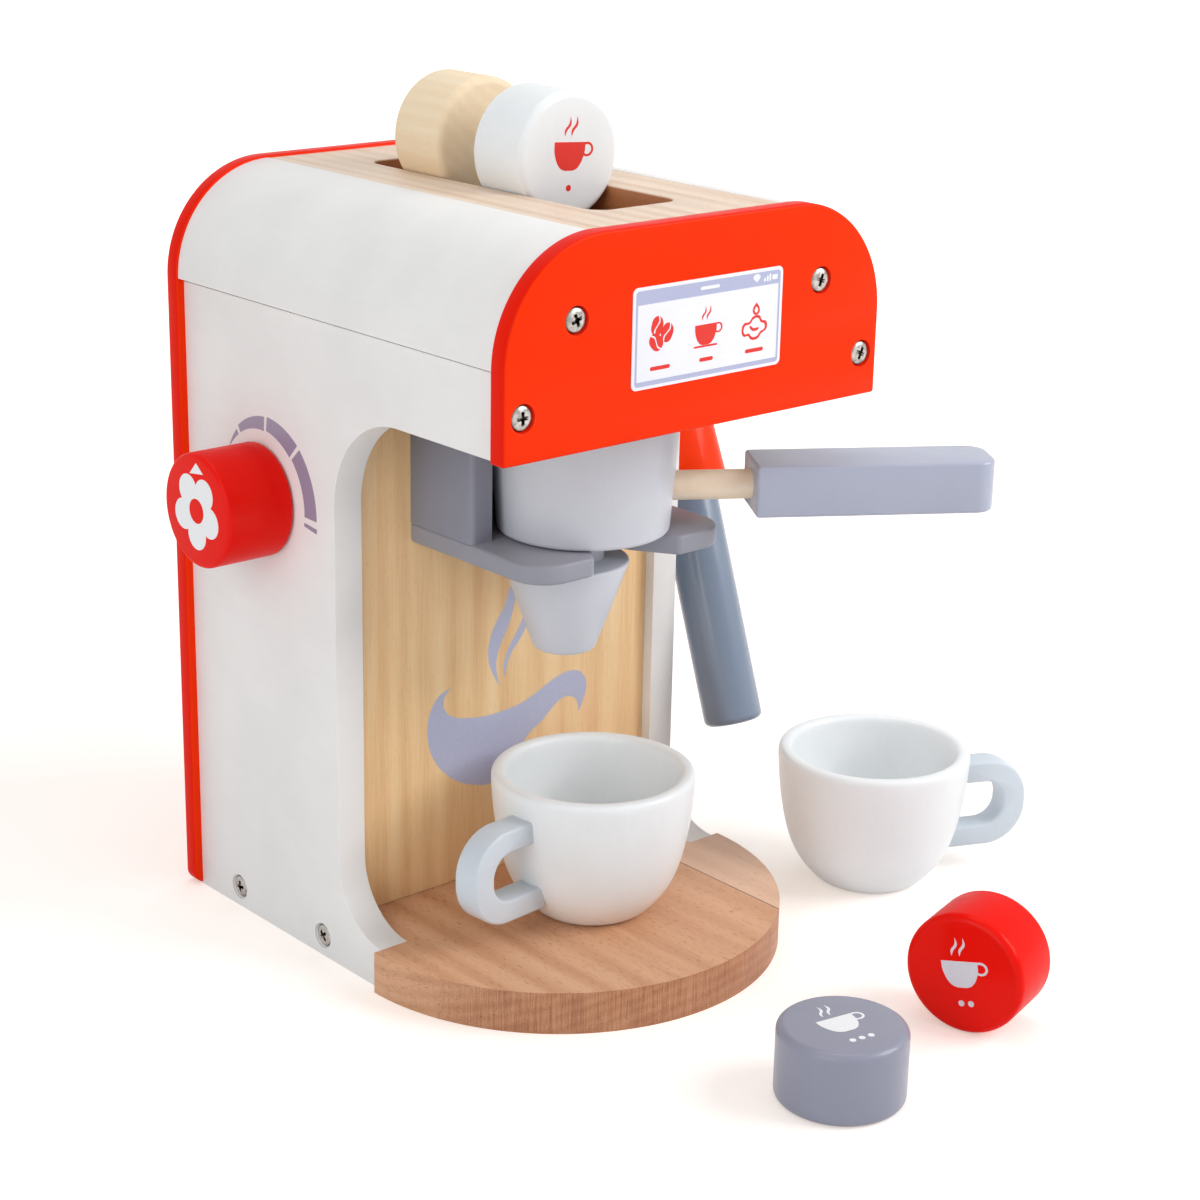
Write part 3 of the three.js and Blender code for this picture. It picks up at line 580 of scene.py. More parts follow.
def sinks(facing):
    """Countersunk holes for the screws that face one way."""
    return [placed(turned(SINK_PROFILE, HOLE_ROUND), at(*spot) @ FACING[way])
            for _, spot, way in SCREWS if way == facing]


def screw():
    """Domed head with a cross recess that narrows inwards, a short cone below it and the shank."""
    head = turned(SCREW_PROFILE, steps=48)
    for turn in (0, 90):
        corners = rectangle(-CROSS_X, -CROSS_Y, CROSS_X, CROSS_Y, [0.3] * 4)
        slot = thicken(outline(corners), CROSS_DEPTH + 0.6)
        for vert in slot.verts:
            if vert.co.z < 1:
                vert.co.x *= 0.55
                vert.co.y *= 0.7
        head = carve(head, [placed(slot, at(0, 0, -CROSS_DEPTH, turn))])
    return head


# Front and back panel.

for word, low, low_corner, thickness, back in (
        ("front", HEAD_UNDERSIDE, 0, FRONT, FRONT), ("back", 0, BACK_CORNER, DEPTH - BACK_FACE, DEPTH)):
    corners = rectangle(-PANEL_X, low, PANEL_X, HEIGHT, (low_corner, low_corner, CORNER, CORNER))
    bm = carve(board(corners, thickness, frontal(back), edge=0.9, fineness=28), sinks(word))
    finish(bm, f"{word}_panel_red", "housing", RED, [f"{word}_panel"])


# Side panels. Their top edges stay sharp, so that the seam under the shoulders is a clear dark line.

SEAM_LOW = SEAM_Z - SEAM_GAP
SIDE_OUTLINE = [
    (FOOT_FRONT, 0, 0), (BACK_FACE, 0, 0), (BACK_FACE, SEAM_LOW, 0), (FRONT, SEAM_LOW, 0),
    (FRONT, HEAD_UNDERSIDE, 0), (BAY_EDGE, HEAD_UNDERSIDE, BAY_TOP_R), (BAY_EDGE, BASE, BAY_FOOT_R),
    (FOOT_FRONT, BASE, 0),
]
for side, x, bore_y, bore_z in (("left", -SIDE_X, KNOB_Y, KNOB_Z), ("right", BAY_X, WAND_Y, WAND_Z)):
    bm = board(SIDE_OUTLINE, SIDE_X - BAY_X, sideways(x), edge=0.8, fineness=28,
               where=lambda middle: middle.y < SEAM_Z - 2)
    bore = placed(rod(-1, 13, BORE_R, steps=HOLE_ROUND), sideways(x) @ at(bore_y, bore_z, 0))
    finish(carve(bm, sinks(side) + [bore]), f"side_panel_{side}_white", "housing", WHITE,
           [f"side_panel_{side}"])


# Shoulders.

for side, sign in (("left", -1), ("right", 1)):
    corners = rectangle(sign * SHOULDER_X, SEAM_Z, sign * (SHOULDER_X + SHOULDER_R), BOARD_TOP,
                        (0, 0, SHOULDER_R - SHORT, 0))
    finish(board(corners, BACK_FACE - FRONT, frontal(BACK_FACE), edge=0.5, fineness=28),
           f"shoulder_{side}_white", "housing", WHITE, [f"shoulder_{side}"])


# Top board with its slot.

blank = thicken(outline(rectangle(-SHOULDER_X, FRONT, SHOULDER_X, BACK_FACE)), BOARD_THICKNESS)
corners = rectangle(-SLOT_X, SLOT_FRONT, SLOT_X, SLOT_END, [SLOT_R] * 4)
slot = thicken(outline(corners, fineness=24), 3 * BOARD_THICKNESS)
bm = soften(carve(blank, [placed(slot, at(0, 0, -BOARD_THICKNESS))]), radius=0.7)
finish(placed(bm, at(0, 0, BOARD_TOP - BOARD_THICKNESS)), "top_board_wood", "housing", PLANED,
       ["top_board"])


# Base board: a half disc in front and a tongue between the side panels.

corners = mirrored([
    (PANEL_X, FOOT_FRONT - PANEL_X, PANEL_X - SHORT), (PANEL_X, FOOT_FRONT, 0), (BAY_X, FOOT_FRONT, 0),
    (BAY_X, BACK_FACE, 0)])
finish(board(corners, BASE, at(0, 0, 0), edge=1.1, fineness=34), "base_board_beech", "housing", BEECH,
       ["base_board"])


# Inner wall.

corners = rectangle(-BAY_X, BASE, BAY_X, HEAD_UNDERSIDE)
bm = board(corners, WALL_BACK - WALL_FACE, frontal(WALL_BACK), edge=0.3)
finish(bm, "inner_wall_wood", "housing", WALL, ["inner_wall"])


# Brew block over the portafilter. Its bottom edges stay sharp where it sits on the fork plate.

corners = rectangle(-BLOCK_X, BLOCK_FRONT, BLOCK_X, WALL_FACE, (2, 2, 0, 0))
bm = board(corners, HEAD_UNDERSIDE - FORK_TOP, at(0, 0, FORK_TOP), edge=0.6,
           where=lambda middle: middle.z > 0.1)
recess = placed(rod(-1, 60, RECESS_R, steps=LARGE_ROUND), at(0, FILTER_Y, FORK_TOP))
finish(carve(bm, [recess]), "brew_block_grey", "housing", BLOCK_GREY, ["brew_block"])


# Fork plate, whose mouth narrows to the throat that holds the portafilter's neck.

corners = mirrored([
    (THROAT_X, FILTER_Y + THROAT_X, THROAT_X - SHORT), (THROAT_X, THROAT_Y, 3), (MOUTH_X, FORK_FRONT, 1.5),
    (BLOCK_X, FORK_FRONT, FORK_CORNER), (BLOCK_X, WALL_FACE, 0)])
finish(board(corners, FORK_THICKNESS, at(0, 0, FORK_TOP - FORK_THICKNESS), edge=1.2), "fork_plate_grey",
       "housing", FORK_GREY, ["fork_plate"])


# Portafilter, drawn round its own axis from the fork plate's top, with the handle along X.

FILTER_PLACE = at(0, FILTER_Y, FORK_TOP + SEAT_GAP, turn=-33)
FILTER_FOOT_R = 30
FILTER_RIM_R = 33.2
FILTER_HEIGHT = 43.8
NECK_R = 7.5
NECK_FOOT = -10.7
SPOUT_R = 22.6
SPOUT_TIP_R = 10.8
SPOUT_TIP = -43.7
SPOUT_SHIFT = -5.9
HANDLE_RISE = 14.3
DOWEL_R = 5.2
DOWEL_START = 18
DOWEL_END = 78.7
GRIP_START = 58.7
GRIP_END = 144.5
GRIP_WIDTH = 24.3
GRIP_HEIGHT = 18.5

bm = soften(rod(0, FILTER_HEIGHT, FILTER_FOOT_R, FILTER_RIM_R, LARGE_ROUND), radius=1.6, segments=4)
finish(placed(bm, FILTER_PLACE), "portafilter_cup_grey", "filter_set", CUP_GREY,
       ["portafilter_cup"])

bm = rod(NECK_FOOT, 0, NECK_R, steps=SMALL_ROUND)
finish(placed(bm, FILTER_PLACE), "portafilter_neck_grey", "filter_neck", CUP_GREY,
       ["portafilter_neck"])

bm = soften(rod(SPOUT_TIP, NECK_FOOT, SPOUT_TIP_R, SPOUT_R), radius=1.4, segments=4)
finish(placed(bm, FILTER_PLACE @ at(SPOUT_SHIFT, 0, 0)), "portafilter_spout_grey", "filter_set", CUP_GREY,
       ["portafilter_spout"])

bm = rod(DOWEL_START, DOWEL_END, DOWEL_R, steps=SMALL_ROUND)
finish(placed(bm, FILTER_PLACE @ at(0, 0, HANDLE_RISE, 90, "Y")), "portafilter_dowel_wood", "filter_set",
       DOWEL, ["portafilter_dowel"])

corners = rectangle(GRIP_START, -GRIP_WIDTH / 2, GRIP_END, GRIP_WIDTH / 2, (1.2, 7.5, 7.5, 1.2))
grip = board(corners, GRIP_HEIGHT, at(0, 0, HANDLE_RISE - GRIP_HEIGHT / 2), edge=1.6, fineness=24)
finish(placed(grip, FILTER_PLACE), "portafilter_grip_grey", "filter_set", GRIP_GREY,
       ["portafilter_grip"])


# Knob, drawn outwards from the left side panel.

KNOB_PLACE = at(-SIDE_X, KNOB_Y, KNOB_Z, turn=-90, axis="Y")
KNOB_R = 20.2
KNOB_BACK = 0.5
KNOB_END = 26.93

bm = soften(rod(KNOB_BACK, KNOB_END, KNOB_R, steps=LARGE_ROUND), radius=1.5, segments=5)
finish(placed(bm, KNOB_PLACE), "knob_red", "knob_set", RED_ROUND, ["knob"])


# Steam wand and the holder that it sticks in, drawn down and up from their axle.

WAND_PLACE = at(WAND_X, WAND_Y, WAND_Z, turn=-19.4, axis="X")
WAND_R = 11.3
WAND_TIP = -122.5
WAND_TOP = -13
WAND_GAP = 0.4
HOLDER_FOOT = -28
HOLDER_FOOT_R = 16.1
HOLDER_TOP = 20
HOLDER_TOP_R = 13.7

bm = soften(rod(WAND_TIP, WAND_TOP, WAND_R), radius=2.5, segments=5)
finish(placed(bm, WAND_PLACE), "steam_wand_blue", "wand_set", WAND_BLUE, ["steam_wand"])

bm = soften(rod(HOLDER_FOOT, HOLDER_TOP, HOLDER_FOOT_R, HOLDER_TOP_R), radius=1, segments=4)
mouth = rod(HOLDER_FOOT - 2, WAND_TOP + WAND_GAP, WAND_R + WAND_GAP)
finish(placed(carve(bm, [mouth]), WAND_PLACE), "wand_holder_red", "wand_set", HOLDER_RED,
       ["wand_holder"])


# Cups, each turned with its wall and bottom, and with a flat C-shaped handle.

CUP_PLACES = {"inner": at(2.2, 51.4, BASE, turn=185), "outer": at(125.7, 28.8, 0, turn=-24.5)}
CUP_PROFILE = [
    (0, 0), (17.2, 0), (19.2, 0.35), (21.4, 1.6), (27.6, 8.5), (31.2, 15.6), (34.0, 25.6), (35.9, 38.0),
    (36.65, 48.6), (36.75, 52.2), (35.4, 53.55), (32.6, 53.55), (31.25, 52.2), (30.9, 48.6), (30.0, 38.0),
    (28.4, 28.0), (25.6, 20.2), (20.6, 12.6), (15.0, 8.8), (8.0, 8.0), (0, 8.0),
]
EAR_OUTLINE = [
    (28.5, -17.35, 0), (62.9, -17.35, 16), (62.9, 17.35, 16), (33.2, 17.35, 0), (32.4, 9.0, 0),
    (53.6, 9.0, 8.2), (53.6, -9.0, 8.2), (29.4, -9.0, 0),
]
EAR_THICKNESS = 10.7
EAR_Z = 27
for word, place in CUP_PLACES.items():
    body = f"{word}_cup_set"
    finish(placed(turned(CUP_PROFILE, steps=48), place), f"cup_{word}_white", body, CUP_WHITE,
           [f"cup_{word}"], smooth=80, levels=2)
    ear = place @ frontal(EAR_THICKNESS / 2) @ at(0, EAR_Z, 0)
    finish(board(EAR_OUTLINE, EAR_THICKNESS, ear, edge=1.1, fineness=26), f"cup_{word}_handle_blue", body,
           HANDLE_BLUE, [f"cup_{word}_handle"])


# Capsules. The white and the plain one lie across the slot's long edges.

CAPSULE_R = 21.75
CAPSULE_HEIGHT = 26
CAPSULE_RISE = round(BOARD_TOP + math.sqrt(CAPSULE_R ** 2 - SLOT_X ** 2) + SEAT_GAP, 2)
CAPSULE_SPOTS = {
    "white": at(0, 67, CAPSULE_RISE), "wood": at(0, 111, CAPSULE_RISE),
    "grey": at(-8.4, -84.4, 0), "red": at(54.5, -80.4, CAPSULE_R, turn=-74),
}
STANDING = at(0, 0, 0)
LYING = at(0, 0, 0, turn=-90, axis="X")
for word, material, slot, way in (
        ("white", CUP_WHITE, "white_paint", LYING), ("wood", TURNED, "pale_wood", LYING),
        ("grey", CAPSULE_GREY, "mid_grey_paint", STANDING), ("red", RED_ROUND, "red_paint", LYING)):
    bm = soften(rod(0, CAPSULE_HEIGHT, CAPSULE_R, steps=LARGE_ROUND), radius=2.8, segments=6)
    finish(placed(bm, CAPSULE_SPOTS[word] @ way), f"capsule_{word}_body", f"{word}_capsule", material,
           [f"capsule_{word}"])


# The screws themselves, each with its cross at an angle of its own.

for name, spot, way in SCREWS:
    turn = at(0, 0, 0, 37 * len(name) + 11 * spot[0])
    finish(placed(screw(), at(*spot) @ FACING[way] @ turn), f"steel_{name}", "housing", STEEL,
           [f"screw_{name}"])


# Prints, each a thin film that stands a few hundredths of a millimetre proud.

FILM_RISE = 0.06
FILM_STEP = 0.012


def printed(shapes, name, body, material, place):
    """Flat drawings as one printed film on a face; where two overlap, one lies a hair lower."""
    films = []
    for index, shape in enumerate(shapes):
        rise = FILM_RISE - FILM_STEP * (index % 3)
        films.append(placed(thicken(shape, 2 * rise), place @ at(0, 0, -rise)))
    finish(joined(films), name, body, material)


def moved(shapes, u=0, v=0, turn=0, scale=1):
    """Flat drawings scaled, turned by so many degrees and moved."""
    return [placed(shape, at(u, v, 0, turn) @ Matrix.Scale(scale, 4)) for shape in shapes]


def blob(*loops):
    """A flat drawing inside a smooth closed line through points, less what further lines enclose.
    A point with a third value is a sharp corner."""
    curve = bpy.data.curves.new("drawn", "CURVE")
    curve.dimensions = "2D"
    curve.fill_mode = "BOTH"
    curve.resolution_u = 10
    for points in loops:
        line = curve.splines.new("BEZIER")
        line.bezier_points.add(len(points) - 1)
        line.use_cyclic_u = True
        for knot, point in zip(line.bezier_points, points):
            knot.co = (point[0], point[1], 0)
            sharp = len(point) > 2
            knot.handle_left_type = knot.handle_right_type = "VECTOR" if sharp else "AUTO"
    made = bpy.data.objects.new("drawn", curve)
    bpy.context.scene.collection.objects.link(made)
    mesh = bpy.data.meshes.new_from_object(made.evaluated_get(bpy.context.evaluated_depsgraph_get()))
    bm = bmesh.new()
    bm.from_mesh(mesh)
    bmesh.ops.remove_doubles(bm, verts=bm.verts[:], dist=0.0001)
    bpy.data.objects.remove(made)
    bpy.data.curves.remove(curve)
    bpy.data.meshes.remove(mesh)
    return bm


def bar(u, v, width, height, radius=None, fineness=16):
    """A flat bar about its middle, with full round ends or corners of a given radius."""
    w, h = width / 2, height / 2
    r = min(w, h) - 0.01 if radius is None else radius
    return outline(rectangle(u - w, v - h, u + w, v + h, [r] * 4), fineness)


def ring(u, v, outer, inner, squash=1.0, segments=40):
    """A flat ring about its middle."""
    bm = bmesh.new()
    for radius in (outer, inner):
        bmesh.ops.create_circle(bm, cap_ends=False, segments=segments, radius=radius)
    bmesh.ops.bridge_loops(bm, edges=bm.edges[:])
    bmesh.ops.scale(bm, vec=(1, squash, 1), verts=bm.verts)
    return placed(bm, at(u, v, 0))


DRAWN_CUP_WIDTH = 12


def steaming_cup(width, saucer=False):
    """A plain cup with an ear and two wisps of steam, so many millimetres wide at the rim."""
    shapes = [
        blob([(-6, 3, 1), (-5.7, -0.5), (-3.4, -4.6), (-1.6, -5.4, 1), (1.6, -5.4, 1), (3.4, -4.6),
              (5.7, -0.5), (6, 3, 1)]),
        ring(6.8, 0.9, outer=2.4, inner=1.6, squash=0.9),
    ]
    for u in (-1.3, 1.3):
        shapes.append(blob([(u - 0.9, 4.6, 1), (u - 1.0, 6.4), (u + 0.5, 8.4), (u + 0.9, 10.6, 1),
                            (u + 1.3, 8.2), (u - 0.2, 6.2)]))
    if saucer:
        shapes.append(bar(0, -5.9, 13, 0.8))
    return moved(shapes, scale=width / DRAWN_CUP_WIDTH)


# Display, measured from its middle: a white film with a lavender border, and with white status marks in
# the border's head.

DISPLAY_X = 33
DISPLAY_Z = 16.5
DISPLAY_THICKNESS = 0.4
DISPLAY_MIDDLE = at(2, 238, 0)
SCREEN = frontal(-DISPLAY_THICKNESS) @ DISPLAY_MIDDLE
STATUS = frontal(-DISPLAY_THICKNESS - 0.04) @ DISPLAY_MIDDLE
BORDER_X = 31.8
BORDER_Z = 15.4
BORDER_R = 1.2
BORDER_INNER_X = 31
BORDER_HEAD = 10.9
BORDER_FOOT = -13.9

corners = rectangle(-DISPLAY_X, -DISPLAY_Z, DISPLAY_X, DISPLAY_Z, [2] * 4)
finish(board(corners, DISPLAY_THICKNESS, frontal(0) @ DISPLAY_MIDDLE, edge=0.12), "display_film_white",
       "housing", FILM, ["display_plate"])
printed([
    outline(rectangle(-BORDER_X, BORDER_HEAD, BORDER_X, BORDER_Z, (0, 0, BORDER_R, BORDER_R))),
    outline(rectangle(-BORDER_X, BORDER_FOOT, -BORDER_INNER_X, BORDER_HEAD)),
    outline(rectangle(BORDER_INNER_X, BORDER_FOOT, BORDER_X, BORDER_HEAD)),
    outline(rectangle(-BORDER_X, -BORDER_Z, BORDER_X, BORDER_FOOT, (BORDER_R, BORDER_R, 0, 0))),
], "display_frame_print", "housing", SCREEN_INK, SCREEN)
printed([
    bar(0, 13.2, 8.5, 1.1), blob([(19.4, 14.2), (22.4, 14.2), (20.9, 12.2, 1)]),
    bar(24.6, 12.7, 0.8, 1.2, 0.1), bar(25.8, 13.0, 0.8, 1.8, 0.1), bar(27.0, 13.3, 0.8, 2.4, 0.1),
    bar(29.2, 13.2, 2.4, 1.6, 0.2),
], "display_status_print", "housing", WHITE_INK, STATUS)


# Pictures on the display: beans, a steaming cup, and a splash with a drop, with a short bar below each.


def bean(turn, u, v):
    """A coffee bean as two full halves with a bent gap between them."""
    halves = [
        blob([(-0.3, 3.3, 1), (-1.8, 2.5), (-2.5, 0), (-1.9, -2.2), (-0.5, -3.2, 1), (-0.9, -1.6),
              (-0.25, 0), (0.3, 1.6)]),
        blob([(0.3, 3.3, 1), (0.9, 1.6), (0.25, 0), (-0.3, -1.6), (0.1, -3.2, 1), (1.8, -2.5), (2.5, 0),
              (1.9, 2.2)]),
    ]
    return moved(halves, u, v, turn)


def splash():
    """An uneven ring with a short stroke in it, and a hollow drop above."""
    return [
        blob([(-5.6, -1.8), (-4.6, 0.6), (-2.2, 0.9), (-0.6, 2.4), (2.4, 2.5), (3.6, 0.9), (5.6, 0.2),
              (5.8, -2.2), (3.4, -3.6), (2.0, -5.0), (-1.2, -5.1), (-2.6, -3.8), (-4.6, -3.7)],
             [(-4.7, -1.8), (-4.0, -0.2), (-1.9, 0.1), (-0.2, 1.6), (1.9, 1.7), (3.1, 0.2), (4.7, -0.5),
              (4.9, -1.9), (2.9, -2.9), (1.5, -4.2), (-0.8, -4.2), (-2.2, -3.0), (-4.1, -2.9)]),
        blob([(-1.9, -0.6), (-1.2, -1.9), (0.6, -2.4), (2.2, -1.6), (1.2, -1.4), (-0.2, -1.4)]),
        blob([(0.8, 7.0, 1), (-0.7, 5.0), (-0.4, 3.4), (0.9, 2.9), (2.2, 3.5), (2.3, 5.0)],
             [(0.8, 5.7, 1), (0.1, 4.8), (0.2, 4.0), (0.9, 3.6), (1.5, 4.0), (1.6, 4.8)]),
    ]


pictures = bean(45, -22.9, -1.8) + bean(-25, -18.3, 0.8) + bean(-15, -22.6, 3.4)
pictures += moved(steaming_cup(9.6, saucer=True), -1.3, -1.1)
pictures += moved(splash(), 20.4, -1.4)
pictures += [bar(u, -10.2, width, 1.3) for u, width in ((-21, 8.6), (-0.8, 6.0), (20.8, 8.2))]
printed(pictures, "display_picture_print", "housing", RED_INK, SCREEN)


# Flower and pointer on the knob's face.

KNOB_FACE = at(0, KNOB_Y, KNOB_Z) @ sideways(-SIDE_X - KNOB_END)
PETALS = 5
PETAL_MIDDLE = 8.3
PETAL_R = 5.5
FLOWER_EYE_R = 4.4


def flower():
    """A ring whose outer rim follows round petals, one of them pointing down, about a round eye."""
    petals = ring(0, 0, PETAL_MIDDLE, FLOWER_EYE_R, segments=160)
    share = 2 * math.pi / PETALS
    for vert in petals.verts:
        if vert.co.length > (PETAL_MIDDLE + FLOWER_EYE_R) / 2:
            angle = math.atan2(vert.co.y, vert.co.x) + math.radians(90)
            away = (angle + share / 2) % share - share / 2
            half_chord = math.sqrt(PETAL_R ** 2 - (PETAL_MIDDLE * math.sin(away)) ** 2)
            vert.co = vert.co.normalized() * (PETAL_MIDDLE * math.cos(away) + half_chord)
    return petals


pointer = outline([(-0.6, 17.2, 0), (-4.8, 14.0, 0), (3.6, 12.8, 0)])
printed([flower()], "knob_flower_print", "knob_set", WHITE_INK, KNOB_FACE)
printed([pointer], "knob_pointer_print", "knob_set", WHITE_INK, KNOB_FACE)


# Dial on the side panel round the knob: steps given by the degrees where they start and end, their
# inner radius, and their width at either end.

DIAL = at(0, KNOB_Y, KNOB_Z) @ sideways(-SIDE_X)
DIAL_STEPS = [
    (38, 55.5, 24.4, 0.4, 2.0), (59, 94.5, 24.5, 2.7, 5.2), (97.5, 133, 25.0, 5.1, 7.0),
    (136, 182, 25.6, 6.5, 7.1), (186.5, 189.5, 25.6, 7.5, 7.4),
]


def dial_step(start, end, inner, width_start, width_end):
    """One step of the dial: a bent band that grows wider along its way."""
    bm = bmesh.new()
    verts = [bm.verts.new((radius, 0, 0)) for radius in (inner, inner + 1)]
    edge = bm.edges.new(verts)
    placed(bm, at(0, 0, 0, start))
    bmesh.ops.spin(bm, geom=verts + [edge], cent=(0, 0, 0), axis=(0, 0, 1), angle=math.radians(end - start),
                   steps=24)
    for vert in bm.verts:
        if vert.co.length > inner + 0.5:
            share = (math.degrees(math.atan2(vert.co.y, vert.co.x)) % 360 - start) / (end - start)
            vert.co = vert.co.normalized() * (inner + width_start + (width_end - width_start) * share)
    return bm


printed([dial_step(*step) for step in DIAL_STEPS], "dial_print", "housing", DIAL_INK, DIAL)


# Steam and cup in flat shapes on the inner wall.

wall_print = [
    blob([(-25.3, 92.0, 1), (-31.0, 90.2), (-34.9, 85.7), (-36.6, 79.3), (-36.1, 72.4), (-33.8, 66.1),
          (-29.2, 60.0), (-22.9, 54.9), (-15.9, 51.8), (-8.2, 50.1), (-1.0, 52.5), (5.5, 59.5), (11.4, 65.7),
          (17.4, 69.2), (22.2, 73.1), (26.5, 75.6), (30.8, 75.6), (34.0, 73.3), (35.3, 68.5, 1),
          (38.1, 74.4), (38.8, 79.3), (36.2, 83.9), (31.8, 85.7), (25.7, 85.3), (19.6, 83.2), (13.6, 80.6),
          (6.4, 78.3), (-0.7, 77.5), (-9.0, 77.3), (-17.2, 78.3), (-24.1, 80.2), (-28.5, 83.6),
          (-29.3, 87.2), (-28.1, 90.0)]),
    blob([(4.6, 129.5, 1), (0.9, 124.0), (-1.2, 118.4), (-5.2, 112.5), (-8.1, 106.4), (-8.8, 100.8),
          (-7.4, 94.7), (-3.4, 87.6, 1), (-5.0, 95.1), (-4.5, 99.9), (-2.2, 105.2), (0.7, 110.3),
          (3.0, 116.6), (4.3, 122.1)]),
    blob([(10.2, 118.5, 1), (7.6, 112.2), (6.0, 109.2), (2.5, 104.1), (-0.4, 99.0), (-1.5, 93.8),
          (-0.9, 90.4, 1), (0.2, 95.1), (2.2, 99.5), (5.6, 103.2), (8.8, 107.6), (10.4, 113.0)]),
]
printed(wall_print, "wall_picture_print", "housing", WALL_INK, frontal(WALL_FACE))


# Steaming cups and small dots on the capsules.

DOT = 2.2
DOT_PITCH = 3.6
DOT_V = -10.3


def capsule_mark(count, turn, u=0, v=0):
    """A steaming cup with a row of plain dots below it, turned and moved on the capsule's face."""
    shapes = moved(steaming_cup(13.6), -0.6, 1.6)
    for index in range(count):
        along = DOT_PITCH * (index - (count - 1) / 2)
        shapes.append(bar(along, DOT_V, DOT, DOT, DOT / 2 - 0.02, fineness=28))
    return moved(shapes, u, v, turn)


printed(capsule_mark(1, -4, 0.2, -0.4), "capsule_white_print", "white_capsule", RED_INK,
        CAPSULE_SPOTS["white"] @ frontal(0))
printed(capsule_mark(3, -11), "capsule_grey_print", "grey_capsule", WHITE_INK,
        CAPSULE_SPOTS["grey"] @ at(0, 0, CAPSULE_HEIGHT))
printed(capsule_mark(2, 12), "capsule_red_print", "red_capsule", PALE_INK, CAPSULE_SPOTS["red"] @ frontal(0))


# CAD nodes that stay: inner pieces that little of is seen.

for name, material in (("head_floor", PLANED), ("knob_axle", TURNED), ("knob_retainer", TURNED),
                       ("wand_axle", STEEL), ("wand_washer", STEEL), ("wand_retainer", STEEL)):
    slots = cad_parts[name].data.materials
    slots.clear()
    slots.append(material)


# Floor and world. The floor and the lamps have their sizes and places in metres.


def seen_directly(owner):
    """One for rays from the camera, a mirror or glass, and zero for the light that falls on things."""
    path = add(owner, "ShaderNodeLightPath")
    first = add(owner, "ShaderNodeMath", {
        0: path.outputs["Is Camera Ray"], 1: path.outputs["Is Glossy Ray"]}, operation="MAXIMUM")
    either = add(owner, "ShaderNodeMath", {
        0: first.outputs["Value"], 1: path.outputs["Is Transmission Ray"]}, operation="MAXIMUM")
    return either.outputs["Value"]


def paper_sweep():
    """Pale matt paper with hardly any tooth. Seen directly it glows a little, and more far off, so that
    it runs out to white, and the light that it throws on the object stays that of plain paper."""
    material, coords, shader = new_material("pale_paper_sweep", {
        "Base Color": linear("#e9e9e9"), "Roughness": 0.9, "IOR": 1.3})
    output = shader.outputs["BSDF"].links[0].to_node
    tooth = pattern(material, coords, 60, 60)
    bump = add(material, "ShaderNodeBump", {"Height": tooth, "Strength": 0.1, "Distance": 0.2 * METRES})
    connect(material, shader, {"Normal": bump.outputs["Normal"]})
    far = add(material, "ShaderNodeVectorMath", {0: coords}, operation="LENGTH")
    brighter = add(material, "ShaderNodeMapRange", {
        "Value": far.outputs["Value"], "From Min": 0.3, "From Max": 1.4, "To Min": 0.42, "To Max": 1.0})
    glow = add(material, "ShaderNodeEmission", {
        "Color": linear("#fff0e2"), "Strength": brighter.outputs["Result"]})
    nothing = add(material, "ShaderNodeEmission", {"Strength": 0.0})
    lift = add(material, "ShaderNodeMixShader", {
        0: seen_directly(material), 1: nothing.outputs["Emission"], 2: glow.outputs["Emission"]})
    summed = add(material, "ShaderNodeAddShader", {0: shader.outputs["BSDF"], 1: lift.outputs["Shader"]})
    connect(material, output, {"Surface": summed.outputs["Shader"]})
    return material


bm = bmesh.new()
bmesh.ops.create_grid(bm, x_segments=8, y_segments=8, size=4)
floor = held(bm, "floor")
floor.data.materials.append(paper_sweep())

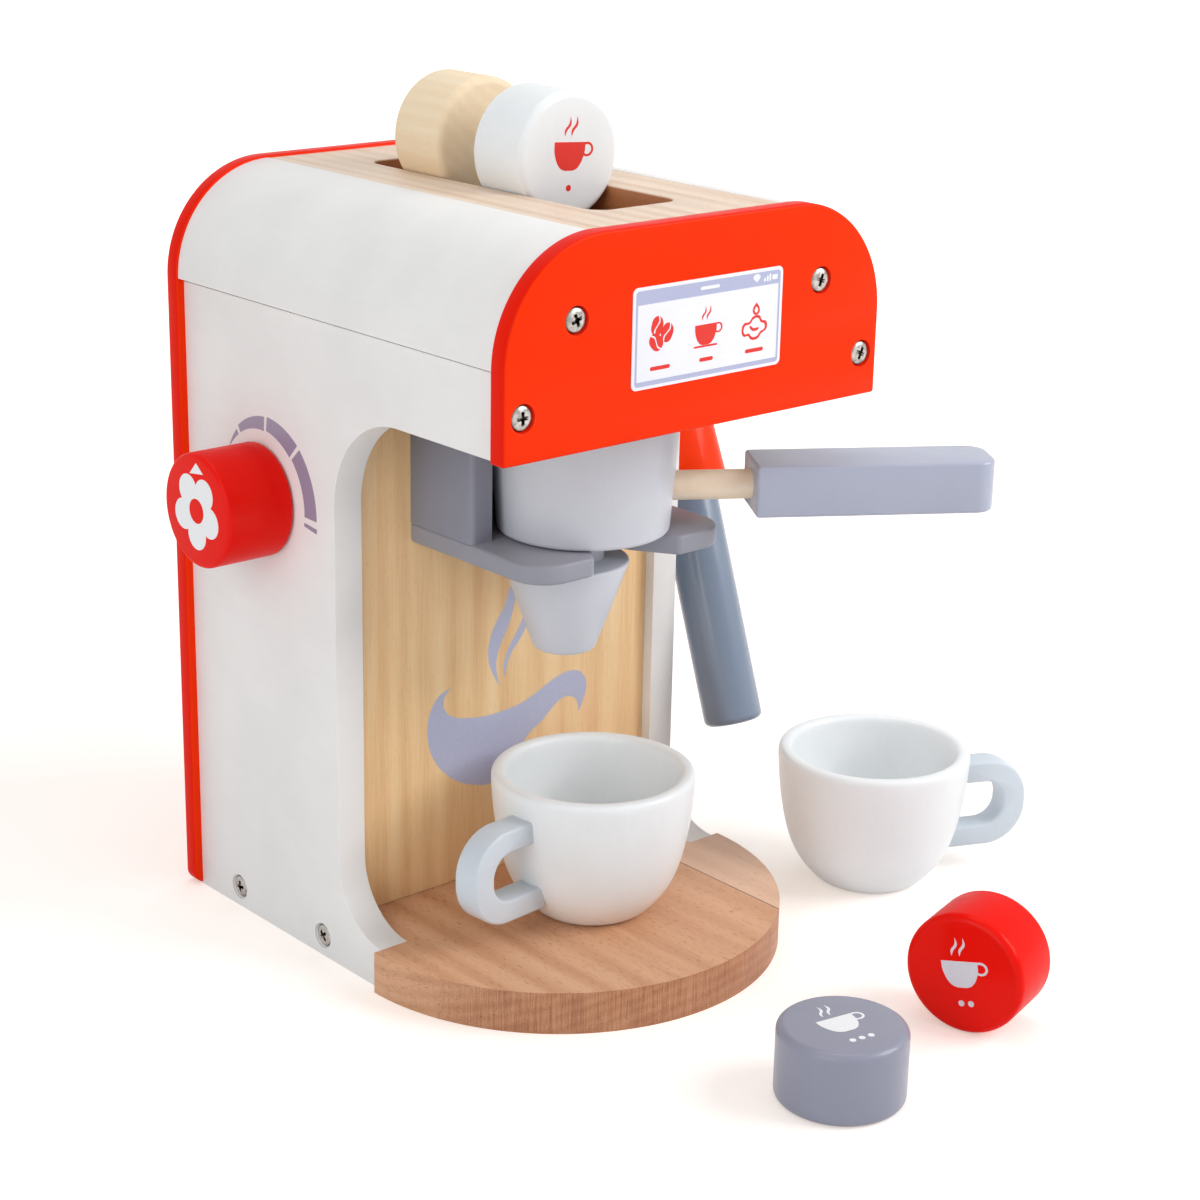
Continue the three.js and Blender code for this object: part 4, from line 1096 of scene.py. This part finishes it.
world = bpy.data.worlds.new("studio")
bpy.context.scene.world = world
world.use_nodes = True
world.node_tree.nodes.clear()
room = add(world, "ShaderNodeBackground", {"Color": (0.97, 0.98, 1, 1), "Strength": 0.45})
white = add(world, "ShaderNodeBackground", {"Color": (1, 1, 1, 1), "Strength": 1.0})
seen = add(world, "ShaderNodeMixShader", {
    0: seen_directly(world), 1: room.outputs["Background"], 2: white.outputs["Background"]})
add(world, "ShaderNodeOutputWorld", {"Surface": seen.outputs["Shader"]})


# Lamps.

LAMP_TARGET = Vector((0, 0, 0.12))


def lamp(name, place, size, power):
    """A square soft box of so many metres and watts that points at the object."""
    light = bpy.data.lights.new(name, "AREA")
    light.shape = "SQUARE"
    light.size = size
    light.energy = power
    made = bpy.data.objects.new(name, light)
    bpy.context.scene.collection.objects.link(made)
    made.location = place
    made.rotation_euler = (LAMP_TARGET - Vector(place)).to_track_quat("-Z", "Y").to_euler()


lamp("key", (0.8, -0.9, 0.9), size=0.8, power=13)
lamp("fill", (-1.5, -0.45, 0.7), size=1.2, power=9)
lamp("top", (0.1, 0.3, 1.6), size=1.0, power=6)


# The camera of the photograph: its place in the drawing, its heading, tilt and slight roll, and its
# focal length in pixels of a picture so many pixels wide.

CAMERA_PLACE = Vector((-558.22, -581.01, 414.45))
AZIMUTH, TILT, ROLL = (math.radians(a) for a in (-41.62, 18.49, 1.20))
FOCAL_PIXELS = 2551.79
PICTURE_PIXELS = 1200
SENSOR = 36

view = Vector((-math.sin(AZIMUTH) * math.cos(TILT), math.cos(AZIMUTH) * math.cos(TILT), -math.sin(TILT)))
level = Vector((math.cos(AZIMUTH), math.sin(AZIMUTH), 0))
upward = level.cross(view)
right = level * math.cos(ROLL) + upward * math.sin(ROLL)
up = upward * math.cos(ROLL) - level * math.sin(ROLL)
lens = bpy.data.cameras.new("camera")
lens.sensor_width = SENSOR
lens.lens = SENSOR * FOCAL_PIXELS / PICTURE_PIXELS
lens.clip_start = 0.05
camera = bpy.data.objects.new("camera", lens)
bpy.context.scene.collection.objects.link(camera)
camera.matrix_world = Matrix.Translation(TO_FRAME @ CAMERA_PLACE) @ Matrix(
    (right, up, -view)).transposed().to_4x4()
bpy.context.scene.camera = camera
bpy.context.scene.view_settings.view_transform = "Standard"
